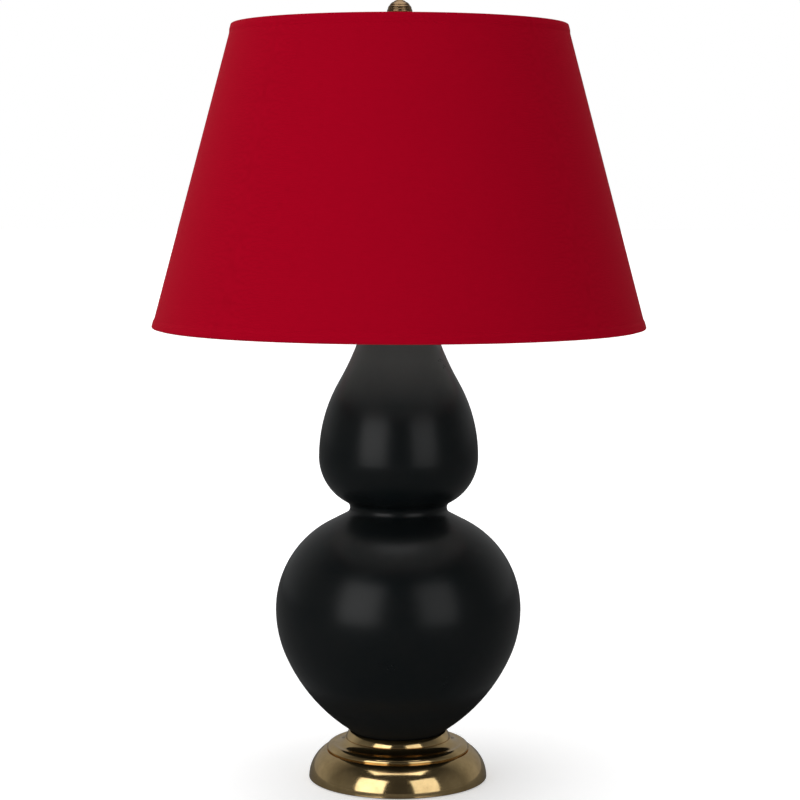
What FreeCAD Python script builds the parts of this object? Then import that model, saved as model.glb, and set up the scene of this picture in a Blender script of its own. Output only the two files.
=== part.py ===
import FreeCAD, Part
import math
import os

# Table lamp: a double gourd of glazed ceramic on a stepped brass base, with a hardback empire
# shade carried by a harp and held by a stepped finial. Millimetres, +Z up, origin at the centre
# of the underside. The front is -Y, and the harp stands in the XZ plane.

# ---- base ----
FELT_GAP = 0.2             # round the felt and the board, inside the hem
FELT_THICKNESS = 1.5
BOARD_THICKNESS = 3.0
DOME_SPREAD = 16.0         # the base's rim beyond the shelf's edge
RIM_LIFT = 0.8             # the rim's edge above the surface that the felt rests on
RIM_ROUND = 1.0
HEM_WIDTH = 3.0            # the rim's edge, turned inwards
HEM_HEIGHT = 2.0
SHELL_WALL = 1.5
SHELL_HEIGHT = 30.6        # up to the shelf that carries the collar
DOME_BULGE = 4.1           # rise of the dome's arc over its chord
WEIGHT_MARGIN = 5.0        # between the weight's top edge and the shelf's edge
WEIGHT_SPREAD = 7.0        # the weight widens by this much towards its foot
WEIGHT_CLEARANCE = 1.0     # above the board
NUT_POCKET_RADIUS = 17.0
NUT_POCKET_DEPTH = 9.5

# ---- collar that cups the gourd's foot ----
SHELF_LEDGE = 2.8          # the shelf's edge beyond the collar's lip
LIP_HEIGHT = 0.8
UNDERCUT_DEPTH = 2.0       # shadow line between the shelf and the lip
UNDERCUT_HEIGHT = 1.2
CUSHION_SPREAD = 7.2       # the lip beyond the cushion's top
CUSHION_TOP_RISE = 6.6     # above the shelf
CUSHION_BULGE = 1.4
COVE_SPREAD = 11.8         # the cushion's top beyond the cove's
COVE_STEP = 0.4            # the cove's top beyond the band's foot
COVE_TOP_RISE = 12.0
COVE_SAG = 2.0
QUIRK_DEPTH = 0.9
QUIRK_HEIGHT = 0.6
BAND_FLARE = 4.2           # the band's foot beyond its top
BAND_WALL = 3.0            # at the band's top
BAND_BULGE = 0.4
COLLAR_RISE = 19.4         # collar's top above the shelf
COLLAR_WALL = 2.0
CUP_FLOOR_RISE = 6.6       # cup's floor above the shelf
GASKET_THICKNESS = 1.0

# ---- cord inlet ----
INLET_RADIUS = 3.2
BUSHING_RADIUS = 4.9
BUSHING_FLANGE_RADIUS = 7.0
BUSHING_FLANGE_PROUD = 1.3
BUSHING_LENGTH = 10.0
INLET_HEIGHT = 11.0

# ---- threaded rod and its fixings ----
ROD_RADIUS = 5.1
ROD_BORE_RADIUS = 3.4
ROD_CLEARANCE = 0.2        # radial, in the holes that the rod passes through
NUT_ACROSS_FLATS = 19.0
NUT_HEIGHT = 5.0
WASHER_RADIUS = 9.0
WASHER_THICKNESS = 1.2
ROD_TAIL = 1.6             # below the nut

# ---- gourd, as tangent arcs ----
FOOT_RADIUS = 47.2
FOOT_CLEARANCE = 0.4
GLAZE_WALL = 6.0
GOURD_FLOOR = 7.0
GOURD_HOLE_RADIUS = 8.0
LOWER_BULGE_RADIUS = 127.5
LOWER_BULGE_RISE = 129.0   # widest level above the collar's top
FOOT_ARC = 180.3
BELLY_ARC = 120.2
BELLY_TURN = 23.9          # degrees below the widest level
SHOULDER_ARC = 101.9
SHOULDER_TURN = 62.5       # degrees above the widest level
WAIST_FILLET = 7.0
UPPER_BULGE_RADIUS = 82.6
UPPER_BULGE_RISE = 159.3   # above the lower bulge
UPPER_BELLY_ARC = 52.9
UPPER_SHOULDER_ARC = 156.5
UPPER_SHOULDER_TURN = 29.8
NECK_ARC = 284.0
MOUTH_RISE = 145.6         # above the upper bulge

# ---- neck hardware ----
CAP_OVERHANG = 1.6
CAP_HEIGHT = 5.0
CAP_EDGE = 1.6
NECK_RADIUS = 9.5
NECK_WALL = 1.0
NECK_LENGTH = 12.5
CHECK_RADIUS = 13.0
CHECK_HEIGHT = 2.5

# ---- harp saddle ----
SADDLE_THICKNESS = 1.5
SADDLE_WIDTH = 14.0
SADDLE_HALF_SPAN = 27.5    # to each leg's axis
EAR_HEIGHT = 13.0
EAR_WALL = 1.1

# ---- socket ----
CAP_HUB_RADIUS = 8.2
CAP_HUB_HEIGHT = 7.0
CAP_RADIUS = 17.8
CAP_SHOULDER = 8.0
CAP_RIM = 9.0
SOCKET_WALL = 0.6
SHELL_RADIUS = 17.0
SHELL_TOP_RISE = 57.0
LINER_WALL = 0.8
CORE_TOP_RISE = 36.0
SCREW_SHELL_RADIUS = 13.35
SCREW_SHELL_WALL = 0.5
SCREW_SHELL_HEIGHT = 20.0
TERMINAL_RADIUS = 2.6
SET_SCREW_RADIUS = 1.6

# ---- rotary switch ----
SWITCH_RISE = 27.0
STEM_RADIUS = 2.4
STEM_REACH = 31.0
KNOB_RADIUS = 7.5
KNOB_LENGTH = 14.0
KNOB_START = 22.0
KNOB_FLUTES = 12
KNOB_FLUTE_RADIUS = 0.9

# ---- bulb ----
BULB_RADIUS = 30.0
BULB_LENGTH = 112.0
BULB_CAP_RADIUS = 13.3
BULB_CAP_LENGTH = 20.0
BULB_TIP_RADIUS = 4.6
BULB_NECK_RADIUS = 13.6
GLASS_WALL = 0.8
BULB_SIDE_TURN = 32.0      # degrees below the ball's widest level, where the flank starts
BULB_SIDE_SAG = 2.2
MOUNT_RADIUS = 2.4
MOUNT_HEIGHT = 40.0
MOUNT_FLARE_HEIGHT = 16.0
MOUNT_FLARE_SAG = 2.5

# ---- harp ----
HARP_HEIGHT = 254.0        # saddle's top to the post's seat
WIRE_RADIUS = 1.8
HARP_HALF_WIDTH = 56.0
LEG_LENGTH = 20.0
REVERSE_BEND = 30.0
REVERSE_TURN = 40.0
CROWN_BEND = 46.0
BOSS_RADIUS = 6.0
BOSS_BELOW = 4.0
BOSS_ABOVE = 5.5
SLEEVE_WALL = 0.8
SLEEVE_CLEARANCE = 0.08
RUNNING_CLEARANCE = 0.05
POST_PIN_RADIUS = 2.5
POST_PIN_LENGTH = 2.8
SEAT_RADIUS = 9.5
SEAT_THICKNESS = 2.4
STUD_RADIUS = 3.175
STUD_LENGTH = 13.5

# ---- shade ----
SHADE_TOP_RADIUS = 171.5
SHADE_BOTTOM_RADIUS = 254.0
SHADE_HEIGHT = 308.0
SPIDER_DROP = 21.4         # top rim above the spider hub's underside
HUB_RADIUS = 11.0
HUB_THICKNESS = 2.2
HUB_HOLE_RADIUS = 3.6
ARM_START = 10.4           # inner end of each arm, welded into the hub
ARM_RADIUS = 1.6
ARM_KNEE = 16.0            # from each arm's bend out to the top ring's wire
ARM_COUNT = 3
RING_RADIUS = 1.6          # of the wire
TRIM_THICKNESS = 0.7
TRIM_WIDTH = 7.0
TRIM_RETURN = 9.0
TRIM_ROUND = 1.5
FABRIC_THICKNESS = 0.8
LINER_THICKNESS = 0.8
LAYER_GAP = 0.1
ARM_SLIT = 0.3

# ---- finial ----
FINIAL_FLANGE_RADIUS = 9.0
FINIAL_FLANGE_HEIGHT = 2.0
FINIAL_NECK_RADIUS = 5.6
FINIAL_NECK_HEIGHT = 13.0
FINIAL_BALL_RADIUS = 12.9
FINIAL_BALL_RISE = 31.0    # ball's centre above the hub
FINIAL_TIERS = 6
FINIAL_TIER_HEIGHT = 3.6
FINIAL_KNOB_RADIUS = 4.6
FINIAL_HEIGHT = 46.8
INSERT_RADIUS = 4.6
INSERT_HEIGHT = 12.0

# ---- radii of the base, from the gourd's foot outwards ----
BAND_TOP_RADIUS = FOOT_RADIUS + FOOT_CLEARANCE + BAND_WALL
BAND_RADIUS = BAND_TOP_RADIUS + BAND_FLARE
COVE_TOP_RADIUS = BAND_RADIUS + COVE_STEP
CUSHION_TOP_RADIUS = COVE_TOP_RADIUS + COVE_SPREAD
LIP_RADIUS = CUSHION_TOP_RADIUS + CUSHION_SPREAD
SHELF_RADIUS = LIP_RADIUS + SHELF_LEDGE
RIM_RADIUS = SHELF_RADIUS + DOME_SPREAD
FELT_RADIUS = RIM_RADIUS - HEM_WIDTH - FELT_GAP
WEIGHT_RADIUS = SHELF_RADIUS - WEIGHT_MARGIN

# ---- levels, from the felt up ----
SHELF_Z = SHELL_HEIGHT
COLLAR_TOP_Z = SHELF_Z + COLLAR_RISE
CUP_FLOOR_Z = SHELF_Z + CUP_FLOOR_RISE
FOOT_Z = CUP_FLOOR_Z + GASKET_THICKNESS
LOWER_Z = COLLAR_TOP_Z + LOWER_BULGE_RISE
UPPER_Z = LOWER_Z + UPPER_BULGE_RISE
MOUTH_Z = UPPER_Z + MOUTH_RISE
NECK_Z = MOUTH_Z + CAP_HEIGHT
CHECK_Z = NECK_Z + NECK_LENGTH
SADDLE_Z = CHECK_Z + CHECK_HEIGHT
SOCKET_Z = SADDLE_Z + SADDLE_THICKNESS
SEAT_Z = SOCKET_Z + HARP_HEIGHT
SHADE_TOP_Z = SEAT_Z + SPIDER_DROP
SHADE_BOTTOM_Z = SHADE_TOP_Z - SHADE_HEIGHT
HUB_TOP_Z = SEAT_Z + HUB_THICKNESS
ARM_Z = SEAT_Z + HUB_THICKNESS / 2
ROD_HOLE_RADIUS = ROD_RADIUS + ROD_CLEARANCE
WEIGHT_Z = FELT_THICKNESS + BOARD_THICKNESS + WEIGHT_CLEARANCE
POCKET_Z = SHELF_Z - SHELL_WALL
WASHER_Z = WEIGHT_Z + NUT_POCKET_DEPTH - WASHER_THICKNESS
NUT_Z = WASHER_Z - NUT_HEIGHT
ROD_BOTTOM_Z = NUT_Z - ROD_TAIL
ROD_TOP_Z = SOCKET_Z + CAP_HUB_HEIGHT
CORE_Z = SOCKET_Z + CAP_HUB_HEIGHT + CAP_SHOULDER
CORE_TOP_Z = SOCKET_Z + CORE_TOP_RISE
SOCKET_TOP_Z = SOCKET_Z + SHELL_TOP_RISE
SWITCH_Z = SOCKET_Z + SWITCH_RISE
EAR_RADIUS = WIRE_RADIUS + SLEEVE_CLEARANCE + EAR_WALL
SAME_POINT = 0.001
UP = FreeCAD.Vector(0, 0, 1)
AXIS = FreeCAD.Vector(0, 0, 0)


# ---- helpers ----
def at(radius, z):
    """A point of a profile, which lies in the XZ plane."""
    return FreeCAD.Vector(radius, 0, z)


def bowed(start, end, rise):
    """Middle of an arc from start to end that rises to the right of its chord."""
    run = end - start
    side = at(run.z, -run.x).multiply(rise / run.Length)
    return (start + end) * 0.5 + side


def crown_rise(radius, height):
    """Rise over its chord of an arc that meets the axis level, from a rim of this radius."""
    centre = (height ** 2 - radius ** 2) / (2 * height)
    return height - centre - math.hypot(radius / 2, height / 2 - centre)


def profile(start, *steps):
    """Closed outline: each step is a point, or a pair of a bulge and a point for an arc."""
    edges = []
    here = start
    for step in steps + (start,):
        if isinstance(step, tuple):
            rise, there = step
            edges.append(Part.Arc(here, bowed(here, there, rise), there).toShape())
        else:
            there = step
            if here.distanceToPoint(there) > SAME_POINT:
                edges.append(Part.LineSegment(here, there).toShape())
        here = there
    return Part.Wire(edges)


def turned(wire):
    """Solid of revolution about the lamp's axis."""
    return Part.Face(wire).revolve(AXIS, UP, 360)


def tube(outer, inner, low, high):
    """Plain tube about the lamp's axis."""
    solid = Part.makeCylinder(outer, high - low, at(0, low))
    return solid.cut(Part.makeCylinder(inner, high - low, at(0, low)))


def across(radius, start, end, z, x=0):
    """Cylinder that lies along Y."""
    return Part.makeCylinder(radius, end - start, FreeCAD.Vector(x, start, z), FreeCAD.Vector(0, 1, 0))


def arc(centre, radius, first, last):
    """Arc about a centre, between two angles in degrees from +X."""
    def point(degrees):
        turn = math.radians(degrees)
        return centre + at(math.cos(turn), math.sin(turn)) * radius
    return Part.Arc(point(first), point((first + last) / 2), point(last)).toShape()


def wire_solid(path, radius):
    """Round wire bent along a path of tangent runs and arcs."""
    start = path.Edges[0].valueAt(path.Edges[0].FirstParameter)
    along = path.Edges[0].tangentAt(path.Edges[0].FirstParameter)
    ring = Part.Wire(Part.makeCircle(radius, start, along))
    return path.makePipeShell([ring], True, False)


# ---- base ----
def base_felt():
    return Part.makeCylinder(FELT_RADIUS, FELT_THICKNESS)


def base_board():
    board = Part.makeCylinder(FELT_RADIUS, BOARD_THICKNESS, at(0, FELT_THICKNESS))
    return board.cut(Part.makeCylinder(NUT_POCKET_RADIUS, BOARD_THICKNESS, at(0, FELT_THICKNESS)))


def base_weight():
    ceiling = WEIGHT_Z + NUT_POCKET_DEPTH
    return turned(profile(
        at(ROD_HOLE_RADIUS, POCKET_Z), at(ROD_HOLE_RADIUS, ceiling), at(NUT_POCKET_RADIUS, ceiling),
        at(NUT_POCKET_RADIUS, WEIGHT_Z), at(WEIGHT_RADIUS + WEIGHT_SPREAD, WEIGHT_Z),
        at(WEIGHT_RADIUS, POCKET_Z)))


def dome_outline():
    """Outside of the base, from its rim up to the shelf."""
    rim = at(RIM_RADIUS, RIM_LIFT + RIM_ROUND)
    return rim, (DOME_BULGE, at(SHELF_RADIUS, SHELF_Z))


def base_shell():
    rim, dome = dome_outline()
    hem = RIM_RADIUS - HEM_WIDTH
    inner_top = at(SHELF_RADIUS - SHELL_WALL / 2, SHELF_Z - SHELL_WALL)
    inner_rim = at(RIM_RADIUS - SHELL_WALL, RIM_LIFT + HEM_HEIGHT)
    solid = turned(profile(at(hem, RIM_LIFT), at(RIM_RADIUS - RIM_ROUND, RIM_LIFT), rim, dome,
                           at(ROD_HOLE_RADIUS, SHELF_Z), at(ROD_HOLE_RADIUS, SHELF_Z - SHELL_WALL),
                           inner_top, (-DOME_BULGE, inner_rim), at(hem, RIM_LIFT + HEM_HEIGHT)))
    return solid.cut(across(BUSHING_RADIUS, WEIGHT_RADIUS, RIM_RADIUS, INLET_HEIGHT))


def cord_bushing():
    """Round inlet through the back of the base, with a flange that follows the dome."""
    rim, dome = dome_outline()
    dome_solid = turned(profile(at(0, RIM_LIFT), at(RIM_RADIUS, RIM_LIFT), rim, dome, at(0, SHELF_Z)))
    front = RIM_RADIUS - SHELL_WALL - BUSHING_LENGTH / 2
    back = RIM_RADIUS + BUSHING_FLANGE_PROUD / 2
    flange = across(BUSHING_FLANGE_RADIUS, front, back, INLET_HEIGHT).cut(dome_solid)
    barrel = across(BUSHING_RADIUS, back - BUSHING_LENGTH, back, INLET_HEIGHT)
    return barrel.fuse(flange).cut(across(INLET_RADIUS, front - BUSHING_LENGTH, back + 1, INLET_HEIGHT))


def base_collar():
    """Spun collar: lip, cushion, cove, quirk and a rounded band that cups the gourd's foot."""
    cup = FOOT_RADIUS + FOOT_CLEARANCE
    under = CUP_FLOOR_Z - COLLAR_WALL
    quirk_z = SHELF_Z + COVE_TOP_RISE
    lip_z = SHELF_Z + UNDERCUT_HEIGHT
    return turned(profile(
        at(ROD_HOLE_RADIUS, CUP_FLOOR_Z), at(ROD_HOLE_RADIUS, under),
        at(CUSHION_TOP_RADIUS - COLLAR_WALL, under),
        (-CUSHION_BULGE, at(LIP_RADIUS - UNDERCUT_DEPTH - COLLAR_WALL, SHELF_Z)),
        at(LIP_RADIUS - UNDERCUT_DEPTH, SHELF_Z), at(LIP_RADIUS - UNDERCUT_DEPTH, lip_z),
        at(LIP_RADIUS, lip_z), at(LIP_RADIUS, lip_z + LIP_HEIGHT),
        (CUSHION_BULGE, at(CUSHION_TOP_RADIUS, SHELF_Z + CUSHION_TOP_RISE)),
        (-COVE_SAG, at(COVE_TOP_RADIUS, quirk_z)),
        at(COVE_TOP_RADIUS - QUIRK_DEPTH, quirk_z), at(COVE_TOP_RADIUS - QUIRK_DEPTH, quirk_z + QUIRK_HEIGHT),
        at(BAND_RADIUS, quirk_z + QUIRK_HEIGHT), (BAND_BULGE, at(BAND_TOP_RADIUS, COLLAR_TOP_Z)),
        at(cup, COLLAR_TOP_Z), at(cup, CUP_FLOOR_Z)))


def rod_nut():
    corner = NUT_ACROSS_FLATS / 2 / math.cos(math.pi / 6)
    points = [FreeCAD.Vector(corner * math.cos(k * math.pi / 3), corner * math.sin(k * math.pi / 3), NUT_Z)
              for k in range(7)]
    nut = Part.Face(Part.makePolygon(points)).extrude(UP * NUT_HEIGHT)
    return nut.cut(Part.makeCylinder(ROD_HOLE_RADIUS, NUT_HEIGHT, at(0, NUT_Z)))


def rod_washer():
    return tube(WASHER_RADIUS, ROD_HOLE_RADIUS, WASHER_Z, WASHER_Z + WASHER_THICKNESS)


def lamp_rod():
    return tube(ROD_RADIUS, ROD_BORE_RADIUS, ROD_BOTTOM_Z, ROD_TOP_Z)


# ---- gourd ----
def gourd_edges(inset):
    """Gourd's outline from foot to mouth, as tangent arcs, moved inwards by inset.

    Returns the edges with the end points at the foot and at the mouth.
    """
    shoulder_centre = at(LOWER_BULGE_RADIUS - SHOULDER_ARC, LOWER_Z)
    belly_centre = at(LOWER_BULGE_RADIUS - BELLY_ARC, LOWER_Z)
    turn = math.radians(-BELLY_TURN)
    foot_centre = belly_centre + at(math.cos(turn), math.sin(turn)) * (BELLY_ARC - FOOT_ARC)
    upper_belly_centre = at(UPPER_BULGE_RADIUS - UPPER_BELLY_ARC, UPPER_Z)
    upper_shoulder_centre = at(UPPER_BULGE_RADIUS - UPPER_SHOULDER_ARC, UPPER_Z)
    turn = math.radians(UPPER_SHOULDER_TURN)
    neck_centre = upper_shoulder_centre + at(math.cos(turn), math.sin(turn)) * (UPPER_SHOULDER_ARC + NECK_ARC)

    # the waist's fillet rolls on the straight shoulder and on the upper belly
    turn = math.radians(SHOULDER_TURN)
    out = at(math.cos(turn), math.sin(turn))
    along = at(-math.sin(turn), math.cos(turn))
    bend = shoulder_centre + out * (SHOULDER_ARC + WAIST_FILLET)
    offset = bend - upper_belly_centre
    reach = (UPPER_BELLY_ARC + WAIST_FILLET) ** 2 - offset.dot(offset) + offset.dot(along) ** 2
    run = -offset.dot(along) - math.sqrt(reach)
    waist_centre = bend + along * run
    crease = waist_centre - upper_belly_centre
    crease_turn = math.degrees(math.atan2(crease.z, crease.x))

    foot_arc = FOOT_ARC - inset
    neck_arc = NECK_ARC + inset
    foot_z = COLLAR_TOP_Z if inset == 0 else FOOT_Z + GOURD_FLOOR
    foot_turn = -math.degrees(math.asin((foot_centre.z - foot_z) / foot_arc))
    neck_turn = 180 + math.degrees(math.asin((neck_centre.z - MOUTH_Z) / neck_arc))
    shoulder_end = shoulder_centre + out * (SHOULDER_ARC - inset)
    edges = [arc(foot_centre, foot_arc, foot_turn, -BELLY_TURN),
             arc(belly_centre, BELLY_ARC - inset, -BELLY_TURN, 0),
             arc(shoulder_centre, SHOULDER_ARC - inset, 0, SHOULDER_TURN),
             Part.LineSegment(shoulder_end, shoulder_end + along * run).toShape(),
             arc(waist_centre, WAIST_FILLET + inset, 180 + SHOULDER_TURN, 180 + crease_turn),
             arc(upper_belly_centre, UPPER_BELLY_ARC - inset, crease_turn, 0),
             arc(upper_shoulder_centre, UPPER_SHOULDER_ARC - inset, 0, UPPER_SHOULDER_TURN),
             arc(neck_centre, neck_arc, 180 + UPPER_SHOULDER_TURN, neck_turn)]
    return edges, edges[0].Vertexes[0].Point, edges[-1].Vertexes[-1].Point


def gourd_wall():
    """Whole thrown wall, from the foot to the mouth."""
    outside, foot, mouth = gourd_edges(0)
    inside, floor, throat = gourd_edges(GLAZE_WALL)
    corners = [foot, at(FOOT_RADIUS, foot.z), at(FOOT_RADIUS, FOOT_Z), at(GOURD_HOLE_RADIUS, FOOT_Z),
               at(GOURD_HOLE_RADIUS, floor.z), floor]
    joins = [Part.LineSegment(a, b).toShape() for a, b in zip(corners, corners[1:])
             if a.distanceToPoint(b) > SAME_POINT]
    joins.append(Part.LineSegment(mouth, throat).toShape())
    return turned(Part.Wire(Part.sortEdges(outside + inside + joins)[0]))


def waist_z():
    """Level of the gourd's narrowest ring, where its two thrown bulbs are joined."""
    return gourd_edges(0)[0][4].Curve.Center.z


def gourd_part(low, high):
    """Part of the wall between two levels."""
    layer = Part.makeCylinder(LOWER_BULGE_RADIUS + GLAZE_WALL, high - low, at(0, low))
    return gourd_wall().common(layer).Solids[0]


def gourd_lower():
    return gourd_part(FOOT_Z, waist_z())


def gourd_upper():
    return gourd_part(waist_z(), MOUTH_Z)


def mouth_radius():
    """Outer radius of the gourd's mouth."""
    return gourd_edges(0)[2].x


def gourd_gasket():
    return tube(FOOT_RADIUS, GOURD_HOLE_RADIUS, CUP_FLOOR_Z, FOOT_Z)


# ---- neck hardware and saddle ----
def vase_cap():
    """Turned cap over the mouth, with a spigot that centres it."""
    edge = mouth_radius() + CAP_OVERHANG
    spigot = mouth_radius() - GLAZE_WALL - FOOT_CLEARANCE - CAP_OVERHANG
    return turned(profile(at(ROD_HOLE_RADIUS, NECK_Z), at(ROD_HOLE_RADIUS, MOUTH_Z - CAP_HEIGHT),
                          at(spigot, MOUTH_Z - CAP_HEIGHT), at(spigot, MOUTH_Z), at(edge, MOUTH_Z),
                          at(edge, MOUTH_Z + CAP_EDGE), (CAP_EDGE, at(NECK_RADIUS + CAP_EDGE, NECK_Z))))


def neck_tube():
    return tube(NECK_RADIUS, NECK_RADIUS - NECK_WALL, NECK_Z, CHECK_Z)


def check_ring():
    edge = at(CHECK_RADIUS, CHECK_Z)
    return turned(profile(at(ROD_HOLE_RADIUS, CHECK_Z), edge, (CHECK_HEIGHT / 3, at(CHECK_RADIUS, SADDLE_Z)),
                          at(ROD_HOLE_RADIUS, SADDLE_Z)))


def harp_saddle():
    """Flat strap whose ends carry open channels for the harp's legs."""
    half = SADDLE_HALF_SPAN

    def strap(width):
        corner = FreeCAD.Vector(-half, -width / 2, SADDLE_Z)
        return Part.makeBox(2 * half, width, SADDLE_THICKNESS, corner)

    ends = [Part.makeCylinder(SADDLE_WIDTH / 2, SADDLE_THICKNESS, at(0, SADDLE_Z)),
            Part.makeCylinder(EAR_RADIUS, SADDLE_THICKNESS, at(half, SADDLE_Z)),
            Part.makeCylinder(EAR_RADIUS, SADDLE_THICKNESS, at(-half, SADDLE_Z))]
    middle = strap(SADDLE_WIDTH).common(
        Part.makeCylinder(half - SADDLE_WIDTH / 2, SADDLE_THICKNESS, at(0, SADDLE_Z)))
    solid = middle.fuse([strap(2 * EAR_RADIUS)] + ends)
    for side in (-1, 1):
        axis = at(side * half, SOCKET_Z)
        ear = Part.makeCylinder(EAR_RADIUS, EAR_HEIGHT, axis)
        groove = Part.makeCylinder(WIRE_RADIUS + SLEEVE_CLEARANCE, EAR_HEIGHT, axis)
        width = 2 * (WIRE_RADIUS + SLEEVE_CLEARANCE)
        mouth = Part.makeBox(EAR_RADIUS, width, EAR_HEIGHT, FreeCAD.Vector(0, -width / 2, SOCKET_Z))
        if side < 0:
            mouth.rotate(AXIS, UP, 180)
        mouth.translate(at(side * half, 0))
        solid = solid.fuse(ear.cut(groove).cut(mouth))
    solid = solid.cut(Part.makeCylinder(ROD_HOLE_RADIUS, SADDLE_THICKNESS, at(0, SADDLE_Z)))
    return solid.removeSplitter()


# ---- socket ----
def socket_cap():
    """Pressed cap: threaded hub, shoulder and the rim that takes the shell."""
    hub_top = SOCKET_Z + CAP_HUB_HEIGHT
    rim_z = hub_top + CAP_SHOULDER
    wall = SOCKET_WALL
    solid = turned(profile(
        at(ROD_HOLE_RADIUS, SOCKET_Z), at(CAP_HUB_RADIUS, SOCKET_Z), at(CAP_HUB_RADIUS, hub_top),
        (CAP_SHOULDER / 4, at(CAP_RADIUS, rim_z)), at(CAP_RADIUS, rim_z + CAP_RIM),
        at(CAP_RADIUS - wall, rim_z + CAP_RIM), at(CAP_RADIUS - wall, rim_z),
        (-CAP_SHOULDER / 4, at(CAP_HUB_RADIUS - wall, hub_top + wall)), at(ROD_HOLE_RADIUS, hub_top + wall)))
    return solid.cut(screw_hole(SET_SCREW_RADIUS))


def screw_hole(radius):
    """Side hole of the cap's hub, at the back."""
    return across(radius, 0, 2 * CAP_HUB_RADIUS, SOCKET_Z + CAP_HUB_HEIGHT / 2)


def socket_screw():
    z = SOCKET_Z + CAP_HUB_HEIGHT / 2
    head = across(SET_SCREW_RADIUS * 1.5, CAP_HUB_RADIUS, CAP_HUB_RADIUS + SET_SCREW_RADIUS, z)
    shank = across(SET_SCREW_RADIUS, ROD_RADIUS + RUNNING_CLEARANCE, CAP_HUB_RADIUS, z)
    return head.fuse(shank)


def stem_hole(outer):
    return across(STEM_RADIUS + RUNNING_CLEARANCE, -outer - 1, 0, SWITCH_Z)


def socket_shell():
    """Spun shell with a rolled bead at its mouth."""
    outer = SHELL_RADIUS
    low = CORE_Z + LAYER_GAP
    bead = SOCKET_TOP_Z - 4 * SOCKET_WALL
    solid = turned(profile(
        at(outer - SOCKET_WALL, low), at(outer, low), at(outer, bead),
        (2 * SOCKET_WALL, at(outer, SOCKET_TOP_Z)),
        at(outer - SOCKET_WALL, SOCKET_TOP_Z)))
    return solid.cut(stem_hole(outer))


def socket_liner():
    outer = SHELL_RADIUS - SOCKET_WALL - LAYER_GAP
    paper = tube(outer, outer - LINER_WALL, CORE_Z + LAYER_GAP, SOCKET_TOP_Z - LINER_WALL)
    return paper.cut(stem_hole(outer))


def core_radius():
    return SHELL_RADIUS - SOCKET_WALL - LINER_WALL - 2 * LAYER_GAP


def socket_core():
    """Moulded body that holds the switch, the screw shell and the contact."""
    core = Part.makeCylinder(core_radius(), CORE_TOP_Z - CORE_Z - LAYER_GAP, at(0, CORE_Z + LAYER_GAP))
    return core.cut(stem_hole(SHELL_RADIUS))


def socket_screw_shell():
    hole = TERMINAL_RADIUS + BULB_TIP_RADIUS
    inner = SCREW_SHELL_RADIUS
    outer = inner + SCREW_SHELL_WALL
    top = CORE_TOP_Z + SCREW_SHELL_HEIGHT
    return turned(profile(at(hole, CORE_TOP_Z), at(outer, CORE_TOP_Z), at(outer, top), at(inner, top),
                          at(inner, CORE_TOP_Z + SCREW_SHELL_WALL), at(hole, CORE_TOP_Z + SCREW_SHELL_WALL)))


def socket_contact():
    """Centre contact under the bulb's tip."""
    return Part.makeCylinder(BULB_TIP_RADIUS, SCREW_SHELL_WALL, at(0, CORE_TOP_Z))


def terminal_screw(side):
    """Wire screw on the side of the core's foot."""
    z = CORE_Z + LAYER_GAP - SET_SCREW_RADIUS
    return Part.makeCylinder(TERMINAL_RADIUS, SET_SCREW_RADIUS, at(side * core_radius() / 2, z))


def switch_stem():
    return across(STEM_RADIUS, -STEM_REACH, -core_radius() / 2, SWITCH_Z)


def switch_knob():
    """Fluted thumb knob, bored for the stem."""
    end = -KNOB_START - KNOB_LENGTH
    knob = across(KNOB_RADIUS, end, -KNOB_START, SWITCH_Z)
    for step in range(KNOB_FLUTES):
        turn = 2 * math.pi * step / KNOB_FLUTES
        flute = across(KNOB_FLUTE_RADIUS, end, -KNOB_START, SWITCH_Z + KNOB_RADIUS * math.sin(turn),
                       KNOB_RADIUS * math.cos(turn))
        knob = knob.cut(flute)
    return knob.cut(across(STEM_RADIUS, -STEM_REACH, 0, SWITCH_Z))


# ---- bulb ----
TIP_Z = CORE_TOP_Z + SCREW_SHELL_WALL
BULB_CAP_Z = TIP_Z + 3 * SCREW_SHELL_WALL


def bulb_contact():
    """Solder tip that meets the socket's contact."""
    low = at(BULB_TIP_RADIUS - SCREW_SHELL_WALL, TIP_Z)
    return turned(profile(at(0, TIP_Z), low, at(BULB_TIP_RADIUS, BULB_CAP_Z), at(0, BULB_CAP_Z)))


def bulb_cap():
    """Screw cap, with its insulating taper at the tip."""
    taper = BULB_CAP_Z + BULB_CAP_RADIUS - BULB_TIP_RADIUS - 4 * SCREW_SHELL_WALL
    top = BULB_CAP_Z + BULB_CAP_LENGTH
    wall = SCREW_SHELL_WALL
    return turned(profile(at(0, BULB_CAP_Z), at(BULB_TIP_RADIUS, BULB_CAP_Z), at(BULB_CAP_RADIUS, taper),
                          at(BULB_CAP_RADIUS, top), at(BULB_CAP_RADIUS - wall, top),
                          at(BULB_CAP_RADIUS - wall, taper + wall), at(0, taper + wall)))


def bulb_shape(inset):
    """Closed outline of the envelope, moved inwards by inset."""
    low = BULB_CAP_Z + BULB_CAP_LENGTH
    top = TIP_Z + BULB_LENGTH
    ball = at(0, top - BULB_RADIUS)
    neck = BULB_NECK_RADIUS - inset
    radius = BULB_RADIUS - inset
    side = -math.radians(BULB_SIDE_TURN)
    cheek = ball + at(math.cos(side), math.sin(side)) * radius
    crown = Part.Arc(cheek, ball + at(radius, 0), ball + at(0, radius)).toShape()
    flank = Part.Arc(at(neck, low), bowed(at(neck, low), cheek, -BULB_SIDE_SAG), cheek).toShape()
    foot = Part.LineSegment(at(0, low), at(neck, low)).toShape()
    spine = Part.LineSegment(ball + at(0, radius), at(0, low)).toShape()
    return turned(Part.Wire([foot, flank, crown, spine]))


def bulb_glass():
    return bulb_shape(0).cut(bulb_shape(GLASS_WALL))


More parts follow.
